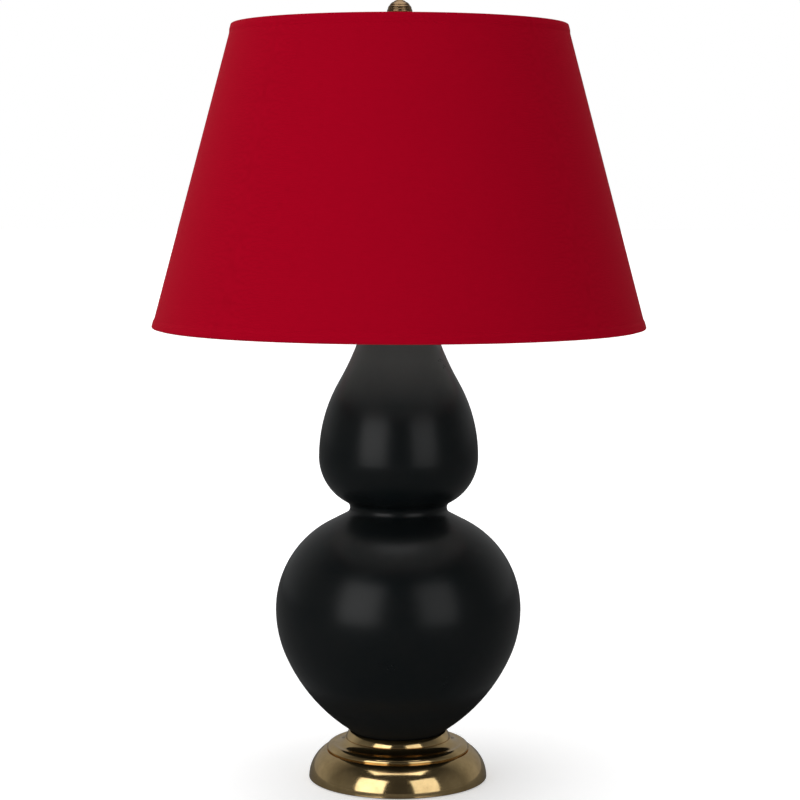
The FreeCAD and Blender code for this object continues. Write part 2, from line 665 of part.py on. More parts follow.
def bulb_mount():
    """Glass stem that carries the lead wires and the filament."""
    low = BULB_CAP_Z + BULB_CAP_LENGTH
    flare = at(BULB_NECK_RADIUS - GLASS_WALL, low)
    return turned(profile(at(0, low), flare, flare + at(0, GLASS_WALL),
                          (-MOUNT_FLARE_SAG, at(MOUNT_RADIUS, low + MOUNT_FLARE_HEIGHT)),
                          at(MOUNT_RADIUS, low + MOUNT_HEIGHT), at(0, low + MOUNT_HEIGHT)))


# ---- harp ----
def harp_path():
    """Half of the bow in the XZ plane: leg, reverse bend, side, crown, mirrored about the axis."""
    turn = math.radians(REVERSE_TURN)
    x = SADDLE_HALF_SPAN
    z = SOCKET_Z + LEG_LENGTH
    out = 2 * REVERSE_BEND * (1 - math.cos(turn))
    slope = (HARP_HALF_WIDTH - x - out) / math.sin(turn)
    crown_z = wire_top_z() - CROWN_BEND
    first = at(x + REVERSE_BEND, z)
    swing = first - at(math.cos(turn), -math.sin(turn)) * REVERSE_BEND
    rise = swing + at(math.sin(turn), math.cos(turn)) * slope
    second = rise - at(math.cos(turn), -math.sin(turn)) * REVERSE_BEND
    side_z = second.z
    flat = HARP_HALF_WIDTH - CROWN_BEND
    half = [Part.LineSegment(at(x, SOCKET_Z + LAYER_GAP), at(x, z)).toShape(),
            arc(first, REVERSE_BEND, 180, 180 - REVERSE_TURN),
            Part.LineSegment(swing, rise).toShape(),
            arc(second, REVERSE_BEND, -REVERSE_TURN, 0),
            Part.LineSegment(at(HARP_HALF_WIDTH, side_z), at(HARP_HALF_WIDTH, crown_z)).toShape(),
            arc(at(flat, crown_z), CROWN_BEND, 0, 90)]
    other = [edge.mirror(AXIS, FreeCAD.Vector(1, 0, 0)) for edge in half]
    top = Part.LineSegment(at(flat, wire_top_z()), at(-flat, wire_top_z())).toShape()
    return Part.Wire(Part.sortEdges(half + [top] + other)[0])


def wire_top_z():
    """Axis of the wire where it runs level under the post."""
    return SEAT_Z - SEAT_THICKNESS - RUNNING_CLEARANCE - BOSS_ABOVE


def harp_bow():
    return wire_solid(harp_path(), WIRE_RADIUS)


def harp_boss():
    """Brass boss clamped round the middle of the wire, bored for the post's pin."""
    z = wire_top_z()
    boss = Part.makeCylinder(BOSS_RADIUS, BOSS_BELOW + BOSS_ABOVE, at(0, z - BOSS_BELOW))
    wire = Part.makeCylinder(WIRE_RADIUS + RUNNING_CLEARANCE, 4 * BOSS_RADIUS, at(-2 * BOSS_RADIUS, z),
                             FreeCAD.Vector(1, 0, 0))
    pin = Part.makeCylinder(POST_PIN_RADIUS + RUNNING_CLEARANCE, POST_PIN_LENGTH + LAYER_GAP,
                            at(0, z + BOSS_ABOVE - POST_PIN_LENGTH - LAYER_GAP))
    return boss.cut(wire).cut(pin)


def harp_sleeve(side):
    """Ferrule that slides down over the channel and the leg in it."""
    inner = EAR_RADIUS + RUNNING_CLEARANCE
    sleeve = tube(inner + SLEEVE_WALL, inner, SOCKET_Z + LAYER_GAP, SOCKET_Z + EAR_HEIGHT + 1)
    sleeve.translate(at(side * SADDLE_HALF_SPAN, 0))
    return sleeve


def harp_post():
    """Swivel post: pin, seat disc and the stud that the shade and finial go on."""
    seat_low = SEAT_Z - SEAT_THICKNESS
    pin = Part.makeCylinder(POST_PIN_RADIUS, POST_PIN_LENGTH + RUNNING_CLEARANCE,
                            at(0, seat_low - POST_PIN_LENGTH - RUNNING_CLEARANCE))
    seat = turned(profile(at(0, seat_low), at(SEAT_RADIUS - 1, seat_low), (0.6, at(SEAT_RADIUS - 1, SEAT_Z)),
                          at(0, SEAT_Z)))
    stud = Part.makeCylinder(STUD_RADIUS, STUD_LENGTH, at(0, SEAT_Z))
    return pin.fuse([seat, stud.makeChamfer(0.6, [stud.Edges[0]])])


# ---- shade ----
SLANT = math.atan2(SHADE_BOTTOM_RADIUS - SHADE_TOP_RADIUS, SHADE_HEIGHT)
SLANT_LENGTH = SHADE_HEIGHT / math.cos(SLANT)


def on_cone(run, depth):
    """Point of the shade's section: run up the slant from the bottom rim, depth in from its face."""
    radius = SHADE_BOTTOM_RADIUS - run * math.sin(SLANT) - depth * math.cos(SLANT)
    return at(radius, SHADE_BOTTOM_Z + run * math.cos(SLANT) - depth * math.sin(SLANT))


FABRIC_DEPTH = TRIM_THICKNESS + LAYER_GAP
LINER_DEPTH = FABRIC_DEPTH + FABRIC_THICKNESS + LAYER_GAP
RING_DEPTH = LINER_DEPTH + LINER_THICKNESS + LAYER_GAP + RING_RADIUS
RING_RUN = TRIM_THICKNESS + LAYER_GAP + RING_RADIUS


def cone(depth, thickness):
    """One layer of the shade, between the two trims' turned edges."""
    low = TRIM_THICKNESS + LAYER_GAP
    high = SLANT_LENGTH - low
    return turned(profile(on_cone(low, depth), on_cone(high, depth), on_cone(high, depth + thickness),
                          on_cone(low, depth + thickness)))


def shade_fabric():
    return cone(FABRIC_DEPTH, FABRIC_THICKNESS)


def shade_liner():
    return cone(LINER_DEPTH, LINER_THICKNESS)


def ring(run):
    centre = on_cone(run, RING_DEPTH)
    return Part.makeTorus(centre.x, RING_RADIUS, at(0, centre.z))


def shade_top_ring():
    return ring(SLANT_LENGTH - RING_RUN)


def shade_bottom_ring():
    return ring(RING_RUN)


def trim(place):
    """Turned edge of the shade: cloth folded round the wire and back to the liner."""
    thick = TRIM_THICKNESS
    back = RING_DEPTH + RING_RADIUS + LAYER_GAP
    seat = LINER_DEPTH + LINER_THICKNESS + LAYER_GAP
    hold = RING_RUN + RING_RADIUS
    return turned(profile(
        place(TRIM_WIDTH, 0), place(TRIM_ROUND, 0), place(0, TRIM_ROUND), place(0, back + thick - TRIM_ROUND),
        place(TRIM_ROUND, back + thick), place(hold, back + thick), place(TRIM_RETURN + thick, seat + thick),
        place(TRIM_RETURN + thick, seat), place(TRIM_RETURN, seat), place(hold - thick, back),
        place(thick, back), place(thick, thick), place(TRIM_WIDTH, thick)))


def shade_bottom_trim():
    return trim(on_cone)


def arm_knee():
    """Point where an arm bends up towards the top ring."""
    return at(on_cone(SLANT_LENGTH - RING_RUN, RING_DEPTH).x - ARM_KNEE, ARM_Z)


def arm_slope(radius):
    """Sloping end of an arm, from its knee to the middle of the top ring's wire."""
    rise = on_cone(SLANT_LENGTH - RING_RUN, RING_DEPTH) - arm_knee()
    return Part.makeCylinder(radius, rise.Length, arm_knee(), rise)


def at_each_arm(shape):
    """Copies of a shape turned to each of the spider's arms, the first at the back."""
    copies = [shape.copy() for step in range(ARM_COUNT)]
    for step, copy in enumerate(copies):
        copy.rotate(AXIS, UP, 90 + 360 / ARM_COUNT * step)
    return copies


def shade_top_trim():
    """Top edge, slit where the spider's arms come in."""
    solid = trim(lambda run, depth: on_cone(SLANT_LENGTH - run, depth))
    return solid.cut(at_each_arm(arm_slope(ARM_RADIUS + ARM_SLIT)))


def shade_spider():
    """Hub washer and three arms that run level, then rise to the top ring's wire."""
    hub = tube(HUB_RADIUS, HUB_HOLE_RADIUS, SEAT_Z, HUB_TOP_Z)
    run = arm_knee() - at(ARM_START, ARM_Z)
    level = Part.makeCylinder(ARM_RADIUS, run.Length, at(ARM_START, ARM_Z), run)
    arm = level.fuse([Part.makeSphere(ARM_RADIUS, arm_knee()), arm_slope(ARM_RADIUS)])
    return hub.fuse(at_each_arm(arm)).cut(shade_top_ring())


# ---- finial ----
def finial_insert():
    """Tapped insert that turns on the post's stud."""
    return tube(INSERT_RADIUS, STUD_RADIUS + RUNNING_CLEARANCE, HUB_TOP_Z, HUB_TOP_Z + INSERT_HEIGHT)


def finial_body():
    """Flange, neck and a ball of turned tiers under a small knob."""
    z = HUB_TOP_Z
    neck_z = z + FINIAL_NECK_HEIGHT
    centre = z + FINIAL_BALL_RISE
    top = z + FINIAL_HEIGHT
    low = centre - FINIAL_TIERS * FINIAL_TIER_HEIGHT / 2
    flange_z = z + FINIAL_FLANGE_HEIGHT
    steps = [at(FINIAL_FLANGE_RADIUS, z), (FINIAL_FLANGE_HEIGHT / 3, at(FINIAL_FLANGE_RADIUS, flange_z)),
             at(FINIAL_NECK_RADIUS, flange_z + 1), at(FINIAL_NECK_RADIUS, neck_z)]
    for tier in range(FINIAL_TIERS):
        bottom = low + tier * FINIAL_TIER_HEIGHT
        offset = max(abs(bottom - centre), abs(bottom + FINIAL_TIER_HEIGHT - centre)) - FINIAL_TIER_HEIGHT / 3
        radius = math.sqrt(FINIAL_BALL_RADIUS ** 2 - offset ** 2) - 1
        steps.append(at(radius, bottom))
        steps.append((1.0, at(radius, bottom + FINIAL_TIER_HEIGHT)))
    crown = low + FINIAL_TIERS * FINIAL_TIER_HEIGHT
    steps.append(at(FINIAL_KNOB_RADIUS, crown))
    steps.append((crown_rise(FINIAL_KNOB_RADIUS, top - crown), at(0, top)))
    pocket = INSERT_HEIGHT + LAYER_GAP
    steps.append(at(0, z + pocket + LAYER_GAP))
    steps.append(at(INSERT_RADIUS + RUNNING_CLEARANCE, z + pocket + LAYER_GAP))
    return turned(profile(at(INSERT_RADIUS + RUNNING_CLEARANCE, z), *steps))


PIECES = {
    "base_felt": base_felt,
    "base_board": base_board,
    "base_weight": base_weight,
    "base_shell": base_shell,
    "base_collar": base_collar,
    "cord_bushing": cord_bushing,
    "rod_nut": rod_nut,
    "rod_washer": rod_washer,
    "lamp_rod": lamp_rod,
    "gourd_gasket": gourd_gasket,
    "gourd_lower": gourd_lower,
    "gourd_upper": gourd_upper,
    "vase_cap": vase_cap,
    "neck_tube": neck_tube,
    "check_ring": check_ring,
    "harp_saddle": harp_saddle,
    "socket_cap": socket_cap,
    "socket_screw": socket_screw,
    "socket_shell": socket_shell,
    "socket_liner": socket_liner,
    "socket_core": socket_core,
    "socket_screw_shell": socket_screw_shell,
    "socket_contact": socket_contact,
    "terminal_screw_left": lambda: terminal_screw(-1),
    "terminal_screw_right": lambda: terminal_screw(1),
    "switch_stem": switch_stem,
    "switch_knob": switch_knob,
    "bulb_contact": bulb_contact,
    "bulb_cap": bulb_cap,
    "bulb_glass": bulb_glass,
    "bulb_mount": bulb_mount,
    "harp_bow": harp_bow,
    "harp_boss": harp_boss,
    "harp_sleeve_left": lambda: harp_sleeve(-1),
    "harp_sleeve_right": lambda: harp_sleeve(1),
    "harp_post": harp_post,
    "shade_spider": shade_spider,
    "shade_top_ring": shade_top_ring,
    "shade_bottom_ring": shade_bottom_ring,
    "shade_liner": shade_liner,
    "shade_fabric": shade_fabric,
    "shade_top_trim": shade_top_trim,
    "shade_bottom_trim": shade_bottom_trim,
    "finial_insert": finial_insert,
    "finial_body": finial_body,
}

os.makedirs("parts", exist_ok=True)
for node, make in PIECES.items():
    shape = make()
    shape.exportStep("parts/" + node + ".step")
    box = shape.optimalBoundingBox()
    print(node, "solids", len(shape.Solids), "valid", shape.isValid(), "volume", round(shape.Volume),
          "z", round(box.ZMin, 2), round(box.ZMax, 2), "x", round(box.XMax, 2))
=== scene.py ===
# %% [markdown]
# # A double gourd table lamp
# The lamp has a ceramic body of two bulbs, one on the other, in a satin black glaze. It stands on
# a spun brass base and carries a red cloth shade on a harp, under a brass finial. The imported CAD
# model gives every piece its place and its motion. This lesson dresses it: it draws again the
# pieces that show, finer than the CAD solids are, and gives each one a procedural finish.

import math

import bpy
from mathutils import Matrix, Vector


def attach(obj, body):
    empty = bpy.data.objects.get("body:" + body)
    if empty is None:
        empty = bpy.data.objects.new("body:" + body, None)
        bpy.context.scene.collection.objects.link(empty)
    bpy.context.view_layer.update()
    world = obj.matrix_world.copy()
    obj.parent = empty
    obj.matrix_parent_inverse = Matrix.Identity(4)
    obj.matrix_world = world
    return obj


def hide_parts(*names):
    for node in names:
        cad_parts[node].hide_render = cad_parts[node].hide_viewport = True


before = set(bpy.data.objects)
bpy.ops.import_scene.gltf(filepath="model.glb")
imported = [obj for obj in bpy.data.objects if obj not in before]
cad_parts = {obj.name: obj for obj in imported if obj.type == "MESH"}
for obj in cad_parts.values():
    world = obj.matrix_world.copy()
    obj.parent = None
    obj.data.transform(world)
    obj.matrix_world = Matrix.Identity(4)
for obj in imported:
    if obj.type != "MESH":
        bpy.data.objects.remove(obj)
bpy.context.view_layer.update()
MM = 0.001

# %% [markdown]
# ## The camera
# A product photograph is taken from a few metres with a long lens, so the lamp's sides stay nearly
# parallel. This camera stands a little above the middle of the lamp and looks slightly down, which
# shows the base's rim as a shallow curve. It comes first, so that every piece can be judged in it.

# %% Camera
CAMERA_PLACE = (0.0013, -2.3, 0.615)
CAMERA_DIP = 5.42          # degrees below the horizon
CAMERA_ROLL = 0.15         # degrees
LENS = 100.54              # millimetres, on a sensor 36 mm wide


def in_scene(name, data):
    """A new object with this data, linked to the scene."""
    item = bpy.data.objects.new(name, data)
    bpy.context.scene.collection.objects.link(item)
    return item


camera_data = bpy.data.cameras.new("camera")
camera_data.lens = LENS
camera_data.sensor_width = 36.0
camera = in_scene("camera", camera_data)
tilt = Matrix.Rotation(math.radians(90 - CAMERA_DIP), 4, "X")
roll = Matrix.Rotation(math.radians(CAMERA_ROLL), 4, "Z")
camera.matrix_world = Matrix.Translation(CAMERA_PLACE) @ tilt @ roll
bpy.context.scene.camera = camera
bpy.context.scene.view_settings.view_transform = "Standard"
print("camera stands", round(Vector(CAMERA_PLACE).length, 3), "m from the lamp's foot")

# %% [markdown]
# ## Short helpers for node trees
# A node tree in a script is a list of nodes and a list of links. A few helpers keep that readable.
# The main one adds a node and fills its sockets, each from a plain value or another node. The
# others are single steps that repeat. They serve geometry trees and shader trees alike.

# %% Node helpers
def put(tree, value, socket):
    """Link an output, or a node's first one, into a socket, or set the socket's plain value."""
    if isinstance(value, bpy.types.Node):
        value = value.outputs[0]
    if isinstance(value, bpy.types.NodeSocket):
        tree.links.new(value, socket)
    else:
        socket.default_value = value


def add(tree, kind, sockets=None, **settings):
    """Add a node, set its settings, and fill its sockets by name or number."""
    node = tree.nodes.new(kind)
    for name, value in settings.items():
        setattr(node, name, value)
    for key, value in (sockets or {}).items():
        put(tree, value, node.inputs[key])
    return node


def calc(tree, operation, *values):
    """One step of arithmetic."""
    return add(tree, "ShaderNodeMath", dict(enumerate(values)), operation=operation)


def times(tree, first, second):
    return calc(tree, "MULTIPLY", first, second)


def plus(tree, first, second):
    return calc(tree, "ADD", first, second)


def weighed(tree, first, share, second):
    """A share of one value and the rest of another."""
    return plus(tree, times(tree, first, share), times(tree, second, 1 - share))


def blend(tree, share, first, second):
    """Mix two numbers."""
    return add(tree, "ShaderNodeMix", {0: share, 2: first, 3: second}, data_type="FLOAT")


def split(tree, vector):
    return add(tree, "ShaderNodeSeparateXYZ", {0: vector}).outputs


def join(tree, **parts):
    return add(tree, "ShaderNodeCombineXYZ", parts)


def length(tree, vector):
    return add(tree, "ShaderNodeVectorMath", {0: vector}, operation="LENGTH").outputs["Value"]


def sockets_of(tree, inputs, outputs):
    """Give a tree its end nodes and sockets. A socket has a kind, or a number that it starts from."""
    for title, start in inputs.items():
        kind = {int: "Int", float: "Float"}.get(type(start), start)
        socket = tree.interface.new_socket(title, in_out="INPUT", socket_type="NodeSocket" + kind)
        if kind != start:
            socket.default_value = start
    for title, kind in outputs.items():
        tree.interface.new_socket(title, in_out="OUTPUT", socket_type="NodeSocket" + kind)
    return add(tree, "NodeGroupInput").outputs, add(tree, "NodeGroupOutput").inputs


def end_tree(tree, given, made, piece):
    """End a geometry tree: its copies are made real and get their finish."""
    real = add(tree, "GeometryNodeRealizeInstances", {0: piece})
    dressed = add(tree, "GeometryNodeSetMaterial", {0: real, "Material": given["Finish"]})
    put(tree, dressed, made["Piece"])
    return tree


print("helpers ready")

# %% [markdown]
# ## Outlines of turned pieces
# Nearly everything on this lamp is turned: thrown on a wheel, spun on a lathe or rolled round a
# ring. Such a piece is an outline and an axis. Each outline is a short list of points in
# millimetres, as radius and height, and an arc is the rise over its chord and its end point.
# Real edges are never knife sharp, so a last step eases each corner with a small round, which is
# what catches the light along an edge.

# %% Outline helpers
ARC_STEP = math.radians(5)
SMOOTH_BEND = 25           # degrees, below which a corner counts as smooth


def arc_between(here, there, rise):
    """Points of an arc after its start. It rises to the right of its chord."""
    chord = there - here
    side = Vector((chord.y, -chord.x)).normalized()
    radius = (chord.length ** 2 / 4 + rise ** 2) / (2 * rise)
    centre = (here + there) / 2 + side * (rise - radius)
    sweep = 4 * math.atan(2 * rise / chord.length)
    steps = max(6, math.ceil(abs(sweep) / ARC_STEP))
    return [centre + (Matrix.Rotation(sweep * step / steps, 2) @ (here - centre))
            for step in range(1, steps + 1)]


def outline(start, *steps):
    """Closed outline from a start point and steps: a point, or a rise and a point for an arc."""
    points = [Vector(start)]
    for step in steps + (start,):
        if isinstance(step[1], tuple):
            points += arc_between(points[-1], Vector(step[1]), step[0])
        else:
            points.append(Vector(step))
    return [b for a, b in zip([points[-2]] + points, points[:-1]) if (a - b).length > 1e-4]


def eased(points, radius):
    """The closed outline with each sharp corner rounded by about this radius."""
    made = []
    count = len(points)
    for place, corner in enumerate(points):
        into = corner - points[place - 1]
        out = points[(place + 1) % count] - corner
        kink = abs(math.degrees(into.angle_signed(out)))
        if kink < SMOOTH_BEND or corner.x < 0.01:
            made.append(corner)
            continue
        cut = min(radius, into.length * 0.4, out.length * 0.4)
        first = corner - into.normalized() * cut
        last = corner + out.normalized() * cut
        for share in (0, 0.25, 0.5, 0.75, 1):
            made.append(first.lerp(corner, share).lerp(corner.lerp(last, share), share))
    return made


def area_of(points):
    """Signed area of a closed outline, above 0 where it runs anticlockwise."""
    pairs = zip(points, points[1:] + points[:1])
    return sum(a.x * b.y - b.x * a.y for a, b in pairs) / 2


print("an eased square has", len(eased(outline((0, 0), (1, 0), (1, 1), (0, 1)), 0.1)), "points")

# %% [markdown]
# ## A lathe made of Geometry Nodes
# The tree lays a grid whose rows are the outline's points and whose columns are turns about the
# axis, then bends it into the turned form. It is better than a Screw modifier here, because it
# can also cut ridges. A ridge that climbs as it goes round is a thread, and ridges that don't
# climb are flutes, so one tree makes the gourd, the base, a fluted knob and a bulb's thread. An
# attribute named "cut" says where on the outline the ridges are.

# %% Lathe tree
def lathe_tree():
    tree = bpy.data.node_groups.new("turn_on_lathe", "GeometryNodeTree")
    given, made = sockets_of(
        tree, {"Outline": "Geometry", "Sides": 96, "Ridges": 1, "Climb": 1e6, "Depth": 0.0,
               "Finish": "Material"}, {"Piece": "Geometry"})
    size = add(tree, "GeometryNodeAttributeDomainSize", {0: given["Outline"]}, component="MESH")
    rows = size.outputs["Point Count"]
    columns = plus(tree, given["Sides"], 1)
    grid = add(tree, "GeometryNodeMeshGrid", {"Vertices X": columns, "Vertices Y": rows})
    index = add(tree, "GeometryNodeInputIndex")
    row = calc(tree, "FLOORED_MODULO", index, rows)
    column = calc(tree, "FLOOR", calc(tree, "DIVIDE", index, rows))

    def sampled(value, kind):
        """The value at this row's point of the outline."""
        return add(tree, "GeometryNodeSampleIndex",
                   {"Geometry": given["Outline"], "Value": value, "Index": row}, data_type=kind)

    def carried(name):
        value = add(tree, "GeometryNodeInputNamedAttribute", {"Name": name}, data_type="FLOAT")
        return sampled(value, "FLOAT")

    position = add(tree, "GeometryNodeInputPosition")
    parts = split(tree, sampled(position, "FLOAT_VECTOR"))
    share = calc(tree, "DIVIDE", column, given["Sides"])
    swing = times(tree, share, math.tau)
    climb = times(tree, calc(tree, "DIVIDE", parts["Z"], given["Climb"]), math.tau)
    phase = plus(tree, times(tree, swing, given["Ridges"]), climb)
    wave = calc(tree, "MULTIPLY_ADD", calc(tree, "COSINE", phase), -0.5, 0.5)
    depth = times(tree, times(tree, wave, given["Depth"]), carried("cut"))
    radius = calc(tree, "SUBTRACT", parts["X"], depth)
    angle = plus(tree, swing, math.pi / 2)
    place = join(tree, X=times(tree, radius, calc(tree, "COSINE", angle)),
                 Y=times(tree, radius, calc(tree, "SINE", angle)), Z=parts["Z"])
    bent = add(tree, "GeometryNodeSetPosition", {0: grid, "Position": place})
    flat = join(tree, X=share, Y=carried("run"))
    mapped = add(tree, "GeometryNodeStoreNamedAttribute",
                 {0: bent, "Name": "UVMap", "Value": flat}, data_type="FLOAT2", domain="CORNER")
    closed = add(tree, "GeometryNodeMergeByDistance", {0: mapped, "Distance": 1e-6})
    smooth = add(tree, "GeometryNodeSetShadeSmooth", {0: closed})
    return end_tree(tree, given, made, smooth)


LATHE = lathe_tree()
print("lathe tree has", len(LATHE.nodes), "nodes")

# %% [markdown]
# ## From a tree to a plain piece
# A modifier runs the tree. Its inputs are set by each socket's identifier, and the result is read
# back as a plain mesh, so that nothing live is left on the piece. Each piece then says which CAD
# body it moves with and which CAD nodes it stands for.

# %% Running a tree
SHARP = math.radians(32)   # an edge bent by more than this is shaded sharp


def run_tree(name, mesh, tree, values):
    """Run a geometry tree on a mesh and keep the result as a plain mesh object."""
    source = in_scene(name + "_outline", mesh)
    modifier = source.modifiers.new("tree", "NODES")
    modifier.node_group = tree
    known = {item.name: item.identifier for item in tree.interface.items_tree
             if item.in_out == "INPUT"}
    for title, value in values.items():
        modifier[known[title]] = value
    bpy.context.view_layer.update()
    seen = source.evaluated_get(bpy.context.evaluated_depsgraph_get())
    plain = bpy.data.meshes.new_from_object(seen)
    bpy.data.objects.remove(source)
    plain.name = name
    plain.set_sharp_from_angle(angle=SHARP)
    return in_scene(name, plain)


def seat(piece, body, slot, *nodes):
    """Tie a finished piece to its body and the CAD nodes it stands for. The slot argument is not used."""
    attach(piece, body)
    if nodes:
        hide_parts(*nodes)
    low, high = Vector(piece.bound_box[0]), Vector(piece.bound_box[6])
    print(piece.name, len(piece.data.polygons), "faces, z", round(low.z / MM, 1), "to", round(high.z / MM, 1))


def path_mesh(name, places, **attributes):
    """An open path through places in millimetres, with named numbers on its points."""
    mesh = bpy.data.meshes.new(name)
    edges = [(step, step + 1) for step in range(len(places) - 1)]
    mesh.from_pydata([[value * MM for value in place] for place in places], edges, [])
    for title, values in attributes.items():
        mesh.attributes.new(title, "FLOAT", "POINT").data.foreach_set("value", values)
    return mesh


def turn(name, points, finish, sides=96, cut=None, ridges=1, climb=1e3, depth=0.0, place=None):
    """Turn a closed outline in millimetres about the lamp's axis, or about another one."""
    if area_of(points) < 0:
        points = points[::-1]
    points = points + points[:1]
    low, high = cut or (1, 0)
    cuts = [1.0 if low <= p.y <= high and p.x > 0.01 else 0.0 for p in points]
    runs = [0.0]
    for a, b in zip(points, points[1:]):
        runs.append(runs[-1] + (b - a).length * MM)
    mesh = path_mesh(name + "_outline", [(p.x, 0, p.y) for p in points], cut=cuts, run=runs)
    piece = run_tree(name, mesh, LATHE, {"Sides": sides, "Ridges": ridges, "Climb": climb * MM,
                                         "Depth": depth * MM, "Finish": finish})
    if place:
        piece.data.transform(place)
    return piece


print("ready to turn")

# %% [markdown]
# ## Effects that several finishes share
# An effect is a small shader group with named inputs. It only puts out values, colours or
# heights, and each material feeds them to its own shader. The patterns read Object coordinates,
# so they stay on the piece when it moves. Sizes are in metres, as everything else is.

# %% Group helpers
def coordinates(tree):
    """Object coordinates, in metres."""
    return add(tree, "ShaderNodeTexCoord").outputs["Object"]


def noise(tree, vector, scale, detail=2.0, roughness=0.5):
    """Grey noise from 0 to 1."""
    return add(tree, "ShaderNodeTexNoise", {"Vector": vector, "Scale": scale, "Detail": detail,
                                            "Roughness": roughness}).outputs["Fac"]


def spread(tree, value, low, high, new_low=0.0, new_high=1.0):
    """Stretch a range of a value to a new range, and clamp it."""
    return add(tree, "ShaderNodeMapRange", {"Value": value, "From Min": low, "From Max": high,
                                            "To Min": new_low, "To Max": new_high})


def tint(tree, share, first, second):
    """Mix two colours, each an output or its red, green and blue."""
    node = add(tree, "ShaderNodeMix", {0: share}, data_type="RGBA")
    for colour, socket in ((first, node.inputs[6]), (second, node.inputs[7])):
        put(tree, (*colour, 1) if isinstance(colour, tuple) else colour, socket)
    return node.outputs[2]


def shader_group(name, inputs, outputs, fill):
    """A shader group. Fill adds its nodes, and gives back a value for each named output."""
    tree = bpy.data.node_groups.new(name, "ShaderNodeTree")
    given, made = sockets_of(tree, inputs, dict.fromkeys(outputs, "Float"))
    for title, value in zip(outputs, fill(tree, given)):
        put(tree, value, made[title])
    print(name, "has", len(tree.nodes), "nodes")
    return tree


def use(tree, group, **values):
    """Place a shader group in a material with its own values."""
    node = tree.nodes.new("ShaderNodeGroup")
    node.node_tree = group
    for name, value in values.items():
        put(tree, value, node.inputs[name.replace("_", " ")])
    return node.outputs


print("group helpers ready")

# %% [markdown]
# ### Turning marks
# A spun or turned surface keeps fine rings from the tool. They are noise stretched right round
# the axis: it changes quickly with the radius and the height and hardly at all with the angle.

# %% Turning marks group
def turning_marks(tree, given):
    parts = split(tree, given["Vector"])
    radius = length(tree, join(tree, X=parts["X"], Y=parts["Y"]))
    angle = calc(tree, "ARCTAN2", parts["Y"], parts["X"])
    rate = calc(tree, "DIVIDE", 1.0, given["Spacing"])
    drift = times(tree, calc(tree, "SINE", angle), 0.35)
    lines = join(tree, X=times(tree, radius, rate), Y=times(tree, parts["Z"], rate), Z=drift)
    fine = noise(tree, lines, 1.0)
    bands = noise(tree, lines, 0.09)
    return weighed(tree, fine, 0.6, bands), weighed(tree, fine, 0.35, bands)


TURNING_MARKS = shader_group("turning_marks", {"Vector": "Vector", "Spacing": 0.0004},
                             ["Height", "Tone"], turning_marks)

# %% [markdown]
# ### Tarnish and edge wear
# Antique brass is darkened all over and then rubbed back, so it is light where a cloth reaches,
# along rims and swells, and dark in the hollows. Pointiness tells the two apart. Cloudy noise
# breaks the border up.

# %% Tarnish group
def tarnish_and_wear(tree, given):
    cloud = noise(tree, given["Vector"], calc(tree, "DIVIDE", 1.0, given["Cloud Size"]), 4.0, 0.6)
    point = add(tree, "ShaderNodeNewGeometry").outputs["Pointiness"]
    hollow = spread(tree, point, 0.5, 0.43)
    crest = spread(tree, point, 0.51, 0.6)
    patches = times(tree, spread(tree, cloud, 0.35, 0.7), given["Tarnish"])
    dark = calc(tree, "MAXIMUM", patches, times(tree, hollow, given["Tarnish"]))
    rubbed = times(tree, crest, given["Wear"])
    return dark, times(tree, rubbed, spread(tree, cloud, 0.2, 0.6, 0.5, 1.0))


TARNISH = shader_group("tarnish_and_wear", {"Vector": "Vector", "Cloud Size": 0.02, "Tarnish": 0.5,
                                            "Wear": 0.5}, ["Dark", "Worn"], tarnish_and_wear)

# %% [markdown]
# ### Fine grain
# Glaze, moulded plastic, cast iron and paper all have a texture of their own that is much the same
# all over: a grain of some size, with a slower change of tone under it.

# %% Grain group
def fine_grain(tree, given):
    grain = noise(tree, given["Vector"], calc(tree, "DIVIDE", 1.0, given["Grain Size"]), 3.0)
    drift = noise(tree, given["Vector"], calc(tree, "DIVIDE", 1.0, given["Drift Size"]), 3.0)
    return grain, weighed(tree, drift, 0.75, grain)


GRAIN = shader_group("fine_grain", {"Vector": "Vector", "Grain Size": 0.001, "Drift Size": 0.05},
                     ["Height", "Tone"], fine_grain)

# %% [markdown]
# ### Dust
# A little dust settles on whatever faces up and stays off the sides. The group finds upward faces
# from the surface normal, and specks of noise keep it uneven.

# %% Dust group
def dust_mask(tree, given):
    normal = add(tree, "ShaderNodeNewGeometry").outputs["Normal"]
    up = split(tree, normal)["Z"]
    specks = spread(tree, noise(tree, given["Vector"], 900.0, 4.0, 0.7), 0.45, 0.7)
    facing = spread(tree, up, 0.55, 1.0)
    return [times(tree, times(tree, specks, facing), given["Amount"])]


DUST = shader_group("dust", {"Vector": "Vector", "Amount": 0.1}, ["Mask"], dust_mask)

# %% [markdown]
# ### Plain weave
# Cloth is two sets of threads that pass over and under each other. The group reads a UV map laid
# out in metres, divides it into a chequer of crossings, and rounds each thread where it is on
# top. Some threads are thicker than their neighbours, which gives the faint streaks of a real
# weave.

# %% Weave group
PITCH = 0.00045            # from one thread to the next, in metres


